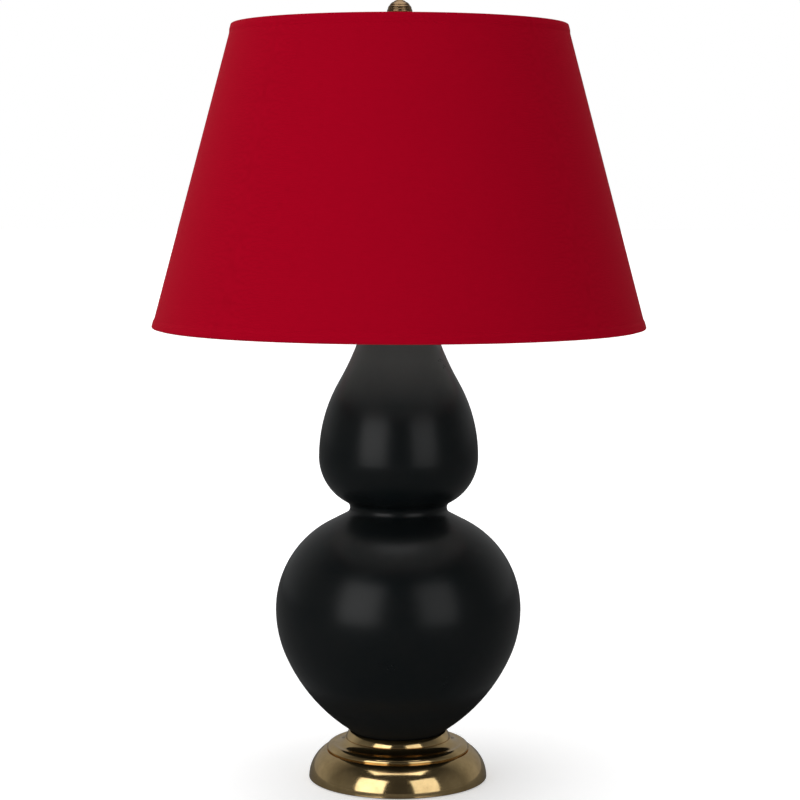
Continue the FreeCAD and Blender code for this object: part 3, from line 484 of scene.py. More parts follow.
def plain_weave(tree, given):
    parts = split(tree, given["UV"])
    warp = calc(tree, "DIVIDE", parts["X"], given["Pitch"])
    weft = calc(tree, "DIVIDE", parts["Y"], given["Pitch"])
    cells = plus(tree, calc(tree, "FLOOR", warp), calc(tree, "FLOOR", weft))
    over = calc(tree, "FLOORED_MODULO", cells, 2.0)

    def rounded(value):
        return calc(tree, "ABSOLUTE", calc(tree, "SINE", times(tree, value, math.pi)))

    def lifted(thread, crossing):
        return times(tree, thread, calc(tree, "MULTIPLY_ADD", crossing, 0.5, 0.5))

    def streak(across_value, along_value):
        line = join(tree, X=calc(tree, "FLOOR", across_value), Y=times(tree, along_value, 0.012))
        return noise(tree, line, 0.73, 1.0)

    across, along = rounded(warp), rounded(weft)
    height = blend(tree, over, lifted(across, along), lifted(along, across))
    streaks = blend(tree, over, streak(warp, weft), streak(weft, warp))
    return height, weighed(tree, height, 0.45, streaks)


WEAVE = shader_group("plain_weave", {"UV": "Vector", "Pitch": PITCH}, ["Height", "Tone"], plain_weave)

# %% [markdown]
# ## The finishes
# Each finish is one material, named as its slot in the record. A number that is the same all over
# goes straight on the shader's own socket. What changes over the surface comes from the groups.

# %% Finish helpers
def new_finish(name, **plain):
    """A material with its Principled shader, whose plain sockets are set."""
    material = bpy.data.materials.new(name)
    material.use_nodes = True
    shader = material.node_tree.nodes["Principled BSDF"]
    for title, value in plain.items():
        shader.inputs[title.replace("_", " ")].default_value = value
    print("finish", name)
    return material, material.node_tree, shader.inputs


def bump(tree, height, depth, strength):
    """Normals from a height map whose full depth is given in metres."""
    return add(tree, "ShaderNodeBump", {"Height": height, "Distance": depth, "Strength": strength})


def coat(tree, shader, colour, rough, normal):
    """Fill the three sockets that every finish varies."""
    for title, value in (("Base Color", colour), ("Roughness", rough), ("Normal", normal)):
        put(tree, value, shader[title])


print("finish helpers ready")

# %% [markdown]
# ### Satin black glaze
# The glaze is nearly black with a trace of blue green. Its shine is soft, so a softbox shows as a
# blurred bar. Under it are the faint dimples of a sprayed glaze and slow clouds where it lies
# thicker. Its colour is a little lighter in random patches and in hollows such as the waist crease,
# which in the hollows is a painted highlight. Round the neck, under the shade, a grey band is a
# painted reflection of the shade's lit lining, and near the foot the glaze is wiped drier.

# %% Black glaze
PAINTED_REFLECTION_BAND = (0.396, 0.440)      # heights in metres: where the painted reflection band starts, and where it is full
DRY_FOOT = (0.106, 0.078)  # the same for the drier foot


def black_glaze():
    material, tree, shader = new_finish("black_glaze", IOR=1.5, Specular_IOR_Level=0.3)
    vector = coordinates(tree)
    grain = use(tree, GRAIN, Vector=vector, Grain_Size=0.0022, Drift_Size=0.06)
    wear = use(tree, TARNISH, Vector=vector, Cloud_Size=0.03, Tarnish=0.6, Wear=0.5)
    dust = use(tree, DUST, Vector=vector, Amount=0.12)
    clouds = tint(tree, grain["Tone"], (0.0024, 0.0044, 0.0052), (0.0040, 0.0058, 0.0064))
    # Lighter in random patches, a thinner coat, and in hollows such as the waist crease, a painted highlight.
    thin_coat_and_crease_highlight = tint(tree, wear["Dark"], clouds, (0.0050, 0.0060, 0.0062))
    height = split(tree, vector)["Z"]
    # A grey band round the neck, painted into the colour: a painted reflection of the shade's lit lining.
    painted_reflection = tint(tree, spread(tree, height, *PAINTED_REFLECTION_BAND), thin_coat_and_crease_highlight, (0.042, 0.042, 0.041))
    colour = tint(tree, dust["Mask"], painted_reflection, (0.05, 0.048, 0.044))
    rough = spread(tree, grain["Tone"], 0.3, 0.7, 0.27, 0.32)
    foot = spread(tree, height, *DRY_FOOT)
    dry = calc(tree, "MULTIPLY_ADD", foot, 0.7, times(tree, dust["Mask"], 0.4))
    coat(tree, shader, colour, plus(tree, rough, dry), bump(tree, grain["Height"], 0.00002, 0.5))
    return material


BLACK_GLAZE = black_glaze()

# %% [markdown]
# ### Brass, steel and bright metal
# The metals differ in colour, in how dark their tarnish is and in how they were worked, and a
# little in shine. One function makes them all: a bright and a dark colour, the tool's spacing,
# and how much of the tarnish was rubbed away.

# %% Metals
def metal(name, bright, dark, shine, tarnish, wear, spacing):
    material, tree, shader = new_finish(name, Metallic=1.0)
    vector = coordinates(tree)
    marks = use(tree, TURNING_MARKS, Vector=vector, Spacing=spacing)
    age = use(tree, TARNISH, Vector=vector, Cloud_Size=0.018, Tarnish=tarnish, Wear=wear)
    dust = use(tree, DUST, Vector=vector, Amount=0.15)
    middle = tuple((3 * a + b) / 4 for a, b in zip(bright, dark))
    polished = tuple(min(1, 1.15 * value) for value in bright)
    aged = tint(tree, age["Dark"], tint(tree, marks["Tone"], middle, bright), dark)
    rubbed = tint(tree, age["Worn"], aged, polished)
    colour = tint(tree, dust["Mask"], rubbed, (0.3, 0.28, 0.25))
    turned = spread(tree, marks["Tone"], 0.3, 0.7, shine - 0.03, shine + 0.03)
    rough = plus(tree, turned, times(tree, age["Dark"], 0.12))
    dusty = plus(tree, rough, times(tree, dust["Mask"], 0.3))
    coat(tree, shader, colour, dusty, bump(tree, marks["Height"], spacing * 0.02, 0.6))
    return material


# Each line: name, bright and dark colour, roughness, tarnish, wear, and the marks' spacing.
ANTIQUE_BRASS = metal("antique_brass", (0.98, 0.72, 0.35), (0.50, 0.32, 0.13), 0.09, 0.45, 0.75, 0.0005)
# The finial is the same antique brass, in a darker copy: painted shade that offsets the overhead softbox's
# light on it.
FINIAL_BRASS_PAINTED_SHADE = metal("finial_brass_painted_shade", (0.36, 0.24, 0.13), (0.16, 0.09, 0.045), 0.2, 0.5, 0.6, 0.0004)
PLAIN_BRASS = metal("plain_brass", (0.72, 0.55, 0.29), (0.35, 0.24, 0.1), 0.24, 0.3, 0.4, 0.0004)
STEEL = metal("steel", (0.62, 0.62, 0.6), (0.3, 0.3, 0.29), 0.3, 0.25, 0.3, 0.0003)
BRIGHT_METAL = metal("bright_metal", (0.8, 0.8, 0.8), (0.45, 0.45, 0.44), 0.2, 0.2, 0.2, 0.0003)

# %% [markdown]
# ### Red cloth
# The shade's cloth is a close plain weave in deep crimson, stretched smooth over its stiff lining.
# It has almost no shine. A trace of sheen stands for the fuzz on the threads, which greys the
# colour where the cloth turns away.

# %% Red cloth
def red_cloth():
    material, tree, shader = new_finish("red_cloth", Specular_IOR_Level=0.02, Sheen_Weight=0.01,
                                        Sheen_Roughness=0.45, Sheen_Tint=(1.0, 0.55, 0.5, 1))
    uv = add(tree, "ShaderNodeUVMap", uv_map="UVMap")
    weave = use(tree, WEAVE, UV=uv, Pitch=PITCH)
    drift = noise(tree, coordinates(tree), 14.0)
    threads = tint(tree, weave["Tone"], (0.33, 0.0004, 0.0105), (0.47, 0.0006, 0.0165))
    colour = tint(tree, spread(tree, drift, 0.3, 0.7, 0, 0.12), threads, (0.36, 0.0006, 0.013))
    rough = spread(tree, weave["Tone"], 0.0, 1.0, 0.95, 0.82)
    coat(tree, shader, colour, rough, bump(tree, weave["Height"], 0.00005, 0.35))
    return material


RED_CLOTH = red_cloth()

# %% [markdown]
# ### Frosted glass
# A frosted bulb is clear glass etched on its inside, so it lets light through and blurs it. The
# transmission is a plain number. Only the frost's unevenness comes from noise.

# %% Frosted glass
def frosted_glass():
    material, tree, shader = new_finish("bulb_glass", Transmission_Weight=0.65, IOR=1.45)
    grain = use(tree, GRAIN, Vector=coordinates(tree), Grain_Size=0.0006, Drift_Size=0.03)
    colour = tint(tree, grain["Tone"], (0.86, 0.86, 0.84), (0.96, 0.96, 0.95))
    rough = spread(tree, grain["Tone"], 0.3, 0.7, 0.34, 0.46)
    coat(tree, shader, colour, rough, bump(tree, grain["Height"], 0.00001, 0.4))
    return material


BULB_GLASS = frosted_glass()

# %% [markdown]
# ### Plastics, paper, felt, board, iron and rubber
# These have no shine to speak of, and differ in colour, grain and roughness. One function mixes
# two colours by the grain group, and a stray-fibre streak makes felt and board look pressed.

# %% Matt finishes
def matt(name, dark, light, rough, grain_size, depth, drift_size=0.03, fibres=0.0, level=0.4):
    material, tree, shader = new_finish(name, Specular_IOR_Level=level)
    vector = coordinates(tree)
    grain = use(tree, GRAIN, Vector=vector, Grain_Size=grain_size, Drift_Size=drift_size)
    dust = use(tree, DUST, Vector=vector, Amount=0.2)
    stretched = add(tree, "ShaderNodeMapping", {"Vector": vector, "Scale": (160.0, 900.0, 500.0)})
    strands = spread(tree, noise(tree, stretched, 1.0, 3.0, 0.65), 0.4, 0.75)
    mixed = tint(tree, grain["Tone"], dark, light)
    streaked = tint(tree, times(tree, strands, fibres), mixed, light)
    colour = tint(tree, dust["Mask"], streaked, (0.4, 0.38, 0.35))
    uneven = spread(tree, grain["Tone"], 0.2, 0.8, rough - 0.06, rough + 0.06)
    coat(tree, shader, colour, uneven, bump(tree, grain["Height"], depth, 0.6))
    return material


# Each line: name, dark and light colour, roughness, grain size and depth, then the size of the
# drift, the share of fibres and the specular level where they aren't the usual ones.
STYRENE = matt("styrene", (0.87, 0.86, 0.84), (0.92, 0.91, 0.89), 0.55, 0.0008, 0.00001, 0.2)
BLACK_PLASTIC = matt("black_plastic", (0.012, 0.012, 0.012), (0.03, 0.03, 0.03), 0.45, 0.0005, 0.00001)
FELT = matt("felt", (0.012, 0.035, 0.016), (0.035, 0.085, 0.04), 0.95, 0.0005, 0.0002, 0.02, 0.7, 0.1)
FIBREBOARD = matt("fibreboard", (0.2, 0.13, 0.075), (0.36, 0.26, 0.17), 0.85, 0.0007, 0.00005, 0.02, 0.5, 0.2)
IRON = matt("iron", (0.03, 0.03, 0.032), (0.1, 0.1, 0.1), 0.7, 0.0012, 0.0002)
RUBBER = matt("gasket", (0.015, 0.015, 0.015), (0.04, 0.04, 0.04), 0.75, 0.0004, 0.00002)
LINER_BOARD = matt("liner_board", (0.3, 0.23, 0.16), (0.48, 0.4, 0.3), 0.85, 0.0006, 0.00004, 0.02, 0.4, 0.2)

# %% [markdown]
# ## The gourd
# The body is two thrown bulbs joined at a crease. Its outline is one run of tangent arcs, as a
# potter's template would be drawn: foot, belly and shoulder of the lower bulb, a straight run, a
# tight fillet at the waist, then the upper bulb and a long hollow curve to the mouth. The numbers
# are the drawing's own, so the glazed skin lies exactly on the CAD solid.

# %% Gourd
WALL = 6.0
COLLAR_TOP = 50.0
LOWER_BULGE = Vector((127.5, 179.0))   # widest radius and its height
UPPER_BULGE = Vector((82.6, 338.3))
MOUTH_Z = 483.9
FOOT = Vector((47.2, 38.2))
FLOOR_THICKNESS = 7.0
FLOOR_HOLE = 8.0
SWEEP_STEP = 3             # degrees


def on_circle(centre, radius, degrees):
    return centre + Vector((math.cos(math.radians(degrees)), math.sin(math.radians(degrees)))) * radius


def swept(centre, radius, first, last):
    """Points of an arc about a centre, between two angles in degrees."""
    steps = max(8, math.ceil(abs(last - first) / SWEEP_STEP))
    return [on_circle(centre, radius, first + (last - first) * step / steps) for step in range(steps + 1)]


def gourd_side(inset, low):
    """The gourd's outline from foot to mouth, moved inwards by inset."""
    foot_arc, belly_arc, shoulder_arc, fillet = 180.3, 120.2, 101.9, 7.0
    upper_belly_arc, upper_shoulder_arc, neck_arc = 52.9, 156.5, 284.0
    belly_turn, shoulder_turn, neck_start = -23.9, 62.5, 29.8
    shoulder = LOWER_BULGE - Vector((shoulder_arc, 0))
    belly = LOWER_BULGE - Vector((belly_arc, 0))
    foot = on_circle(belly, belly_arc - foot_arc, belly_turn)
    upper_belly = UPPER_BULGE - Vector((upper_belly_arc, 0))
    upper_shoulder = UPPER_BULGE - Vector((upper_shoulder_arc, 0))
    neck = on_circle(upper_shoulder, upper_shoulder_arc + neck_arc, neck_start)
    bend = on_circle(shoulder, shoulder_arc + fillet, shoulder_turn)
    along = on_circle(Vector((0, 0)), 1, shoulder_turn + 90)
    offset = bend - upper_belly
    reach = (upper_belly_arc + fillet) ** 2 - offset.length_squared + offset.dot(along) ** 2
    waist = bend + along * (-offset.dot(along) - math.sqrt(reach))
    crease = math.degrees(math.atan2(waist.y - upper_belly.y, waist.x - upper_belly.x))
    foot_turn = -math.degrees(math.asin((foot.y - low) / (foot_arc - inset)))
    neck_end = 180 + math.degrees(math.asin((neck.y - MOUTH_Z) / (neck_arc + inset)))
    return (swept(foot, foot_arc - inset, foot_turn, belly_turn)[:-1]
            + swept(belly, belly_arc - inset, belly_turn, 0)[:-1]
            + swept(shoulder, shoulder_arc - inset, 0, shoulder_turn)
            + swept(waist, fillet + inset, 180 + shoulder_turn, 180 + crease)
            + swept(upper_belly, upper_belly_arc - inset, crease, 0)[:-1]
            + swept(upper_shoulder, upper_shoulder_arc - inset, 0, neck_start)[:-1]
            + swept(neck, neck_arc + inset, 180 + neck_start, neck_end))


outside = gourd_side(0, COLLAR_TOP)
floor_z = FOOT.y + FLOOR_THICKNESS
inside = gourd_side(WALL, floor_z)
gourd_line = [Vector((FLOOR_HOLE, FOOT.y)), FOOT] + outside + inside[::-1] + [Vector((FLOOR_HOLE, floor_z))]
gourd = turn("gourd", gourd_line, BLACK_GLAZE, sides=240)
seat(gourd, "lamp_base", "black_glaze", "gourd_lower", "gourd_upper")

# %% [markdown]
# ## The spun base
# Two brass spinnings make the base. The lower one is a low dome with a rim that is turned under
# at the table and a flat shelf on top. The upper one is the collar that cups the gourd: a lip over
# a shadow line, a cushion, a cove, a fine quirk and a rounded band. The eased corners matter most
# here, because each one is a thin bright line in the photograph.

# %% Base and collar
ROD_HOLE = 5.3
SHELF_Z = 30.6
SHELF_UNDER = 29.1

dome_line = outline((90.0, 0.8), (92.0, 0.8), (0.41, (93.0, 1.8)), (4.1, (77.0, SHELF_Z)),
                    (ROD_HOLE, SHELF_Z), (ROD_HOLE, SHELF_UNDER), (76.25, SHELF_UNDER),
                    (-4.1, (91.5, 2.8)), (90.0, 2.8))
dome = turn("base_dome", eased(dome_line, 1.0), ANTIQUE_BRASS, sides=240)
seat(dome, "lamp_base", "antique_brass", "base_shell")

collar_line = outline((ROD_HOLE, 37.2), (ROD_HOLE, 35.2), (65.0, 35.2), (-1.4, (70.2, SHELF_Z)),
                      (72.2, SHELF_Z), (72.2, 31.8), (74.2, 31.8), (74.2, 32.6), (1.4, (67.0, 37.2)),
                      (-2.0, (55.2, 42.6)), (54.3, 42.6), (54.3, 43.2), (54.8, 43.2),
                      (0.4, (50.6, COLLAR_TOP)), (47.6, COLLAR_TOP), (47.6, 37.2))
collar = turn("foot_collar", eased(collar_line, 0.35), ANTIQUE_BRASS, sides=240)
seat(collar, "lamp_base", "antique_brass", "base_collar")

# %% [markdown]
# ## The felt
# A disc of felt is glued under the base so that the brass doesn't scratch the table. It is a cut
# sheet of cloth, and its edge is soft where the shears went through.

# %% Felt
felt_line = outline((0, 0), (89.8, 0), (89.8, 1.5), (0, 1.5))
felt = turn("felt_pad", eased(felt_line, 0.5), FELT, sides=128)
seat(felt, "lamp_base", "felt", "base_felt")

# %% [markdown]
# ## The shade's layers
# A hardback shade is a stiff white liner with cloth glued to its outside, both rolled round a wire
# ring at each end. Along the slant every layer is a straight line, so two numbers place any point
# of the section: the run up the slant from the bottom edge, and the depth in from the face.
#
# The cloth was cut flat as a sector of a ring. Its UV map is that flat sector, in metres, so the
# weave runs straight up the front and turns to the bias towards the seam at the back, as it does
# on a real shade.

# %% Shade helpers
BOTTOM = Vector((254.0, 472.8))
TOP = Vector((171.5, 780.8))
SLANT = math.atan2(BOTTOM.x - TOP.x, TOP.y - BOTTOM.y)
SLANT_LENGTH = (TOP - BOTTOM).length


def on_slant(run, depth):
    """Point of the shade's section, in millimetres."""
    return Vector((BOTTOM.x - run * math.sin(SLANT) - depth * math.cos(SLANT),
                   BOTTOM.y + run * math.cos(SLANT) - depth * math.sin(SLANT)))


def lay_flat(piece):
    """UV map of a piece of the cone, as its flat pattern in metres."""
    layer = piece.data.uv_layers["UVMap"].data
    apex_z = BOTTOM.y + BOTTOM.x / math.tan(SLANT)
    for loop, corner in zip(piece.data.loops, layer):
        x, y, z = piece.data.vertices[loop.vertex_index].co
        share = corner.uv.x
        reach = (apex_z * MM - z) / math.cos(SLANT)
        swing = (share - 0.5) * math.tau * math.sin(SLANT)
        corner.uv = (reach * math.sin(swing), reach * math.cos(swing))


def layer_line(depth, thickness):
    """Outline of one layer of the shade between its turned edges."""
    ease, steps = 0.8, 12
    runs = [ease + (SLANT_LENGTH - 2 * ease) * step / steps for step in range(steps + 1)]
    return [on_slant(run, depth) for run in runs] + [on_slant(run, depth + thickness) for run in runs[::-1]]


print("slant length", round(SLANT_LENGTH, 1), "mm at", round(math.degrees(SLANT), 2), "degrees")

# %% Cloth and liner
liner = turn("shade_lining", layer_line(1.7, 0.8), STYRENE, sides=240)
seat(liner, "shade", "styrene", "shade_liner")

cloth = turn("shade_cloth", layer_line(0.8, 0.8), RED_CLOTH, sides=240)
lay_flat(cloth)
seat(cloth, "shade", "red_cloth", "shade_fabric")

# %% [markdown]
# ## The turned edges
# At each end the cloth goes round the wire and back inside. Outside it shows as a smooth band, whose
# edge is pressed down from 6 to 10 mm past the rim until it melts into the face. Inside it ends on
# the liner.

# %% Turned edges
def hem_line(place):
    """Outline of a turned edge. Place gives a point from a run past the rim and a depth."""
    return [place(*pair) for pair in (
        (10.0, 0.74), (9.0, 0.6), (7.8, 0.28), (6.8, 0.06), (6.0, 0), (1.6, 0), (0.8, 0.2), (0.25, 0.7),
        (0, 1.5), (0, 6.0), (0.25, 6.8), (0.8, 7.25), (1.6, 7.45), (4.0, 7.3), (5.2, 6.6), (6.2, 5.4),
        (9.0, 3.6), (9.7, 3.3), (9.7, 2.6), (9.0, 2.6), (5.0, 5.3), (3.6, 6.4), (1.8, 6.5), (0.9, 6.0),
        (0.7, 5.5), (0.7, 1.2), (1.0, 0.8), (10.0, 0.8))]


def from_top(run, depth):
    return on_slant(SLANT_LENGTH - run, depth)


for end, place in (("bottom", on_slant), ("top", from_top)):
    hem = turn(f"shade_{end}_hem", hem_line(place), RED_CLOTH, sides=240)
    lay_flat(hem)
    seat(hem, "shade", "red_cloth", f"shade_{end}_trim")

# %% [markdown]
# ## The back seam
# The two ends of the cloth overlap at the back and are glued. The overlap is a strip of cloth
# 9 mm wide, a little proud, with its cut edge turned under. It is laid on the cone by a small
# grid, and its flat pattern follows the cloth's.

# %% Back seam
def seam_strip():
    across = [-4.5, -4.2, -3.4, 0.0, 3.4, 4.2, 4.5]
    proud = [0.72, 0.42, 0.3, 0.28, 0.3, 0.42, 0.72]
    rows, start = 40, 6.0
    corners = []
    for row in range(rows + 1):
        run = start + (SLANT_LENGTH - 2 * start) * row / rows
        for side, depth in zip(across, proud):
            point = on_slant(run, depth)
            angle = math.pi / 2 + side / point.x
            corners.append((point.x * math.cos(angle) * MM, point.x * math.sin(angle) * MM, point.y * MM))
    wide = len(across)
    faces = [(row * wide + k, (row + 1) * wide + k, (row + 1) * wide + k + 1, row * wide + k + 1)
             for row in range(rows) for k in range(wide - 1)]
    mesh = bpy.data.meshes.new("shade_seam")
    mesh.from_pydata(corners, [], faces)
    uv = mesh.uv_layers.new(name="UVMap")
    for loop in mesh.loops:
        x, y, z = mesh.vertices[loop.vertex_index].co
        uv.data[loop.index].uv = (x, z / math.cos(SLANT))
    mesh.shade_smooth()
    mesh.materials.append(RED_CLOTH)
    return in_scene("shade_seam", mesh)


seam = seam_strip()
seat(seam, "shade", "red_cloth")

# %% [markdown]
# ## Bent wire made of Geometry Nodes
# The harp and the spider's arms are wire bent round formers. A path of a few corner points says
# where the wire goes, an attribute named "bend" says how tight each corner is, and the tree fillets
# the corners, sweeps a circle along the path and repeats it about the axis. It is better than a
# tube drawn point by point, because the bends stay true arcs when a size changes.

# %% Wire tree
def wire_tree():
    tree = bpy.data.node_groups.new("bend_wire", "GeometryNodeTree")
    given, made = sockets_of(
        tree, {"Path": "Geometry", "Wire Radius": 0.0018, "Sides": 20, "Bend Steps": 14, "Copies": 1,
               "Finish": "Material"}, {"Piece": "Geometry"})
    curve = add(tree, "GeometryNodeMeshToCurve", {0: given["Path"]})
    radius = add(tree, "GeometryNodeInputNamedAttribute", {"Name": "bend"}, data_type="FLOAT")
    bent = add(tree, "GeometryNodeFilletCurve",
               {0: curve, "Count": given["Bend Steps"], "Radius": radius}, mode="POLY")
    section = add(tree, "GeometryNodeCurvePrimitiveCircle",
                  {"Resolution": given["Sides"], "Radius": given["Wire Radius"]})
    rod = add(tree, "GeometryNodeCurveToMesh", {0: bent, 1: section, "Fill Caps": True})
    smooth = add(tree, "GeometryNodeSetShadeSmooth", {0: rod})
    centres = add(tree, "GeometryNodeMeshLine", {"Count": given["Copies"], "Offset": (0, 0, 0)})
    index = add(tree, "GeometryNodeInputIndex")
    share = calc(tree, "DIVIDE", times(tree, index, math.tau), given["Copies"])
    copies = add(tree, "GeometryNodeInstanceOnPoints",
                 {"Points": centres, "Instance": smooth, "Rotation": join(tree, Z=share)})
    return end_tree(tree, given, made, copies)


WIRE = wire_tree()
print("wire tree has", len(WIRE.nodes), "nodes")


def bend_wire(name, corners, finish, radius, copies=1):
    """Bend a wire along corners: each is a place in millimetres and the bend's radius there."""
    bends = [bend * MM for place, bend in corners]
    mesh = path_mesh(name + "_path", [place for place, bend in corners], bend=bends)
    return run_tree(name, mesh, WIRE, {"Wire Radius": radius * MM, "Copies": copies, "Finish": finish})


# %% [markdown]
# ## Harp, post and spider
# The harp's legs stand in the saddle's channels, spread in a double bend, run up past the bulb and
# meet under the swivel post. The spider's three arms leave a washer on that post, run level and
# then rise to the shade's top ring.

# %% Harp
SADDLE_TOP = 505.4
WIRE_TOP = 751.45
HARP_HALF = 56.0
LEG_X = 27.5
LEG_STRAIGHT = 20
LEG_SLOPE = math.radians(40)
LEG_BEND = 30
CROWN_BEND = 46
bend_z = SADDLE_TOP + LEG_STRAIGHT + LEG_BEND * math.tan(LEG_SLOPE / 2)
slope_z = bend_z + (HARP_HALF - LEG_X) / math.tan(LEG_SLOPE)
half_bow = [((LEG_X, 0, SADDLE_TOP + 0.1), 0), ((LEG_X, 0, bend_z), LEG_BEND),
            ((HARP_HALF, 0, slope_z), LEG_BEND), ((HARP_HALF, 0, WIRE_TOP), CROWN_BEND)]
bow = half_bow + [((-x, y, z), bend) for (x, y, z), bend in half_bow[::-1]]
harp = bend_wire("harp_wire", bow, PLAIN_BRASS, 1.8)
seat(harp, "harp", "plain_brass", "harp_bow")

# %% Swivel post with its threaded stud
SEAT_Z = 759.4


def wall(radius, low, high, steps):
    """Even points straight up a wall, close enough together for a thread to be cut in it."""
    return [(radius, low + (high - low) * step / steps) for step in range(steps + 1)]


flange_z = SEAT_Z - 2.4
stud_top = SEAT_Z + 13.5
post_line = outline((0, SEAT_Z - 5.25), (2.5, SEAT_Z - 5.25), (2.5, flange_z), (8.5, flange_z),
                    (0.6, (8.5, SEAT_Z)), (3.175, SEAT_Z),
                    *wall(3.175, SEAT_Z + 1.2, SEAT_Z + 12.6, 128), (2.6, stud_top), (0, stud_top))
post = turn("swivel_post", post_line, PLAIN_BRASS, sides=40, cut=(SEAT_Z + 1.3, SEAT_Z + 12.5),
            climb=0.94, depth=0.45)
seat(post, "harp_post", "plain_brass", "harp_post")

# %% Spider
hub_top = SEAT_Z + 2.17
hub_line = outline((3.6, SEAT_Z), (11.0, SEAT_Z), (11.0, hub_top), (3.6, hub_top))
hub = turn("spider_hub", eased(hub_line, 0.4), STEEL, sides=64)
seat(hub, "shade", "steel", "shade_spider")

ring_place = on_slant(SLANT_LENGTH - 2.4, 4.2)
arm_z = SEAT_Z + 1.1
arm = [((0, 10.4, arm_z), 0), ((0, ring_place.x - 16, arm_z), 8), ((0, ring_place.x, ring_place.y), 0)]
arms = bend_wire("spider_arms", arm, STEEL, 1.6, copies=3)
seat(arms, "shade", "steel", "shade_spider")

# %% [markdown]
# ## The finial
# The finial is brass, turned from the bar: a flange that clamps the shade, a plain neck, a ball with
# fine grooves that part it into six swelling tiers, and a small knob. The tiers come from one
# rule, so the ball keeps its round outline whatever their number.

# %% Finial
FINIAL_Z = SEAT_Z + 2.2
BALL_Z = FINIAL_Z + 30.9
BALL_RADIUS = 12.9
TIERS = 6
TIER = 3.6
GROOVE = 0.7
SWELL = 0.3
KNOB_FOOT = 3.4            # the radius where the knob starts


def ball_radius(height):
    return math.sqrt(BALL_RADIUS ** 2 - (height - BALL_Z) ** 2)


def finial_line():
    steps = [(9.0, FINIAL_Z), (0.66, (9.0, FINIAL_Z + 2)), (5.6, FINIAL_Z + 3), (5.6, FINIAL_Z + 13)]
    for tier in range(TIERS + 1):
        low = BALL_Z + (tier - TIERS / 2) * TIER
        steps += [(ball_radius(low) - GROOVE, low), (ball_radius(low + GROOVE), low + GROOVE)]
        if tier < TIERS:
            steps.append((SWELL, (ball_radius(low + TIER), low + TIER)))
    crown = BALL_Z + math.sqrt(BALL_RADIUS ** 2 - KNOB_FOOT ** 2)
    steps += [(SWELL, (KNOB_FOOT, crown)), (0.7, (2.0, FINIAL_Z + 46.5)), (0.1, (0, FINIAL_Z + 46.8))]
    steps += [(0, FINIAL_Z + 12.2), (4.65, FINIAL_Z + 12.2)]
    return outline((4.65, FINIAL_Z), *steps)


finial = turn("finial", eased(finial_line(), 0.3), FINIAL_BRASS_PAINTED_SHADE, sides=96)
seat(finial, "finial_turn", "antique_brass", "finial_body")

# %% [markdown]
# ## The bulb and its thread
# A screw bulb has a thin metal cap whose thread is rolled, not cut, so it is a soft wave that
# climbs. That is one ridge on the lathe tree with the thread's pitch as its climb. The glass is a
# ball that runs down into a neck.

# %% Bulb
CAP_Z = SADDLE_TOP + 38.0
CAP_TOP = CAP_Z + 20.0
BALL = Vector((0, SADDLE_TOP + 118.5))
CHEEK = -32                # degrees below the ball's middle, where the neck begins
CAP_PITCH = 3.63


def envelope(neck, ball):
    """Outline of the glass from its neck to its crown."""
    start = Vector((neck, CAP_TOP))
    cheek = on_circle(BALL, ball, CHEEK)
    return [start] + arc_between(start, cheek, -2.2) + swept(BALL, ball, CHEEK, 90)[1:]


bulb = turn("bulb_envelope", envelope(13.6, 30.0) + envelope(12.8, 29.2)[::-1], BULB_GLASS, sides=128)
seat(bulb, "bulb_turn", "bulb_glass", "bulb_glass")

thread_low, thread_high = CAP_Z + 7.5, CAP_Z + 18.5
cap_line = outline((0, CAP_Z), (4.6, CAP_Z), (0.4, (12.2, CAP_Z + 6.1)), (13.3, CAP_Z + 6.7),
                   *wall(13.3, thread_low, thread_high, 60), (13.3, CAP_TOP), (12.8, CAP_TOP),
                   *wall(12.8, thread_low, thread_high, 60)[::-1], (12.8, CAP_Z + 7.1), (0, CAP_Z + 7.1))
bulb_cap = turn("bulb_screw_cap", cap_line, BRIGHT_METAL, sides=96, cut=(CAP_Z + 7.9, CAP_Z + 18.1),
                climb=CAP_PITCH, depth=0.9)
seat(bulb_cap, "bulb_turn", "bright_metal", "bulb_cap")

# %% [markdown]
# ## The socket's screw shell and the switch knob
# The same tree makes the shell that the cap screws into, and the fluted knob, whose twelve ridges
# don't climb. The knob is turned about the lamp's axis first and then laid on its own.

# %% Screw shell and knob
CORE_TOP = SADDLE_TOP + 36.0
SHELL_TOP = CORE_TOP + 20.0
shell_low, shell_high = CORE_TOP + 2.5, CORE_TOP + 17.5
screw_line = outline((7.2, CORE_TOP), (13.85, CORE_TOP), *wall(13.85, shell_low, shell_high, 80),
                     (13.85, SHELL_TOP), (13.35, SHELL_TOP), *wall(13.35, shell_low, shell_high, 80)[::-1],
                     (13.35, CORE_TOP + 0.5), (7.2, CORE_TOP + 0.5))
screw_shell = turn("socket_screw_shell_threaded", screw_line, BRIGHT_METAL, sides=96,
                   cut=(CORE_TOP + 2.9, CORE_TOP + 17.1), climb=CAP_PITCH, depth=-0.35)
seat(screw_shell, "lamp_base", "bright_metal", "socket_screw_shell")

knob_line = outline((2.4, 0), (6.6, 0), *wall(7.5, 1.2, 12.8, 12), (0.25, (6.3, 14.0)), (0, 13.6),
                    (0, 9.0), (2.4, 9.0))
KNOB_Y = -22.0
KNOB_Z = SADDLE_TOP + 27
laid = Matrix.Translation((0, KNOB_Y * MM, KNOB_Z * MM)) @ Matrix.Rotation(math.pi / 2, 4, "X")
knob = turn("switch_knob_fluted", knob_line, BLACK_PLASTIC, sides=144, cut=(1.1, 12.9), ridges=12,
            depth=0.8, place=laid)
seat(knob, "switch", "black_plastic", "switch_knob")

# %% [markdown]
# ## Finishes for the CAD pieces that stay
# The rest of the fittings are right as the CAD model has them. Each gets its finish in its own
# material slot, and its mesh isn't touched.

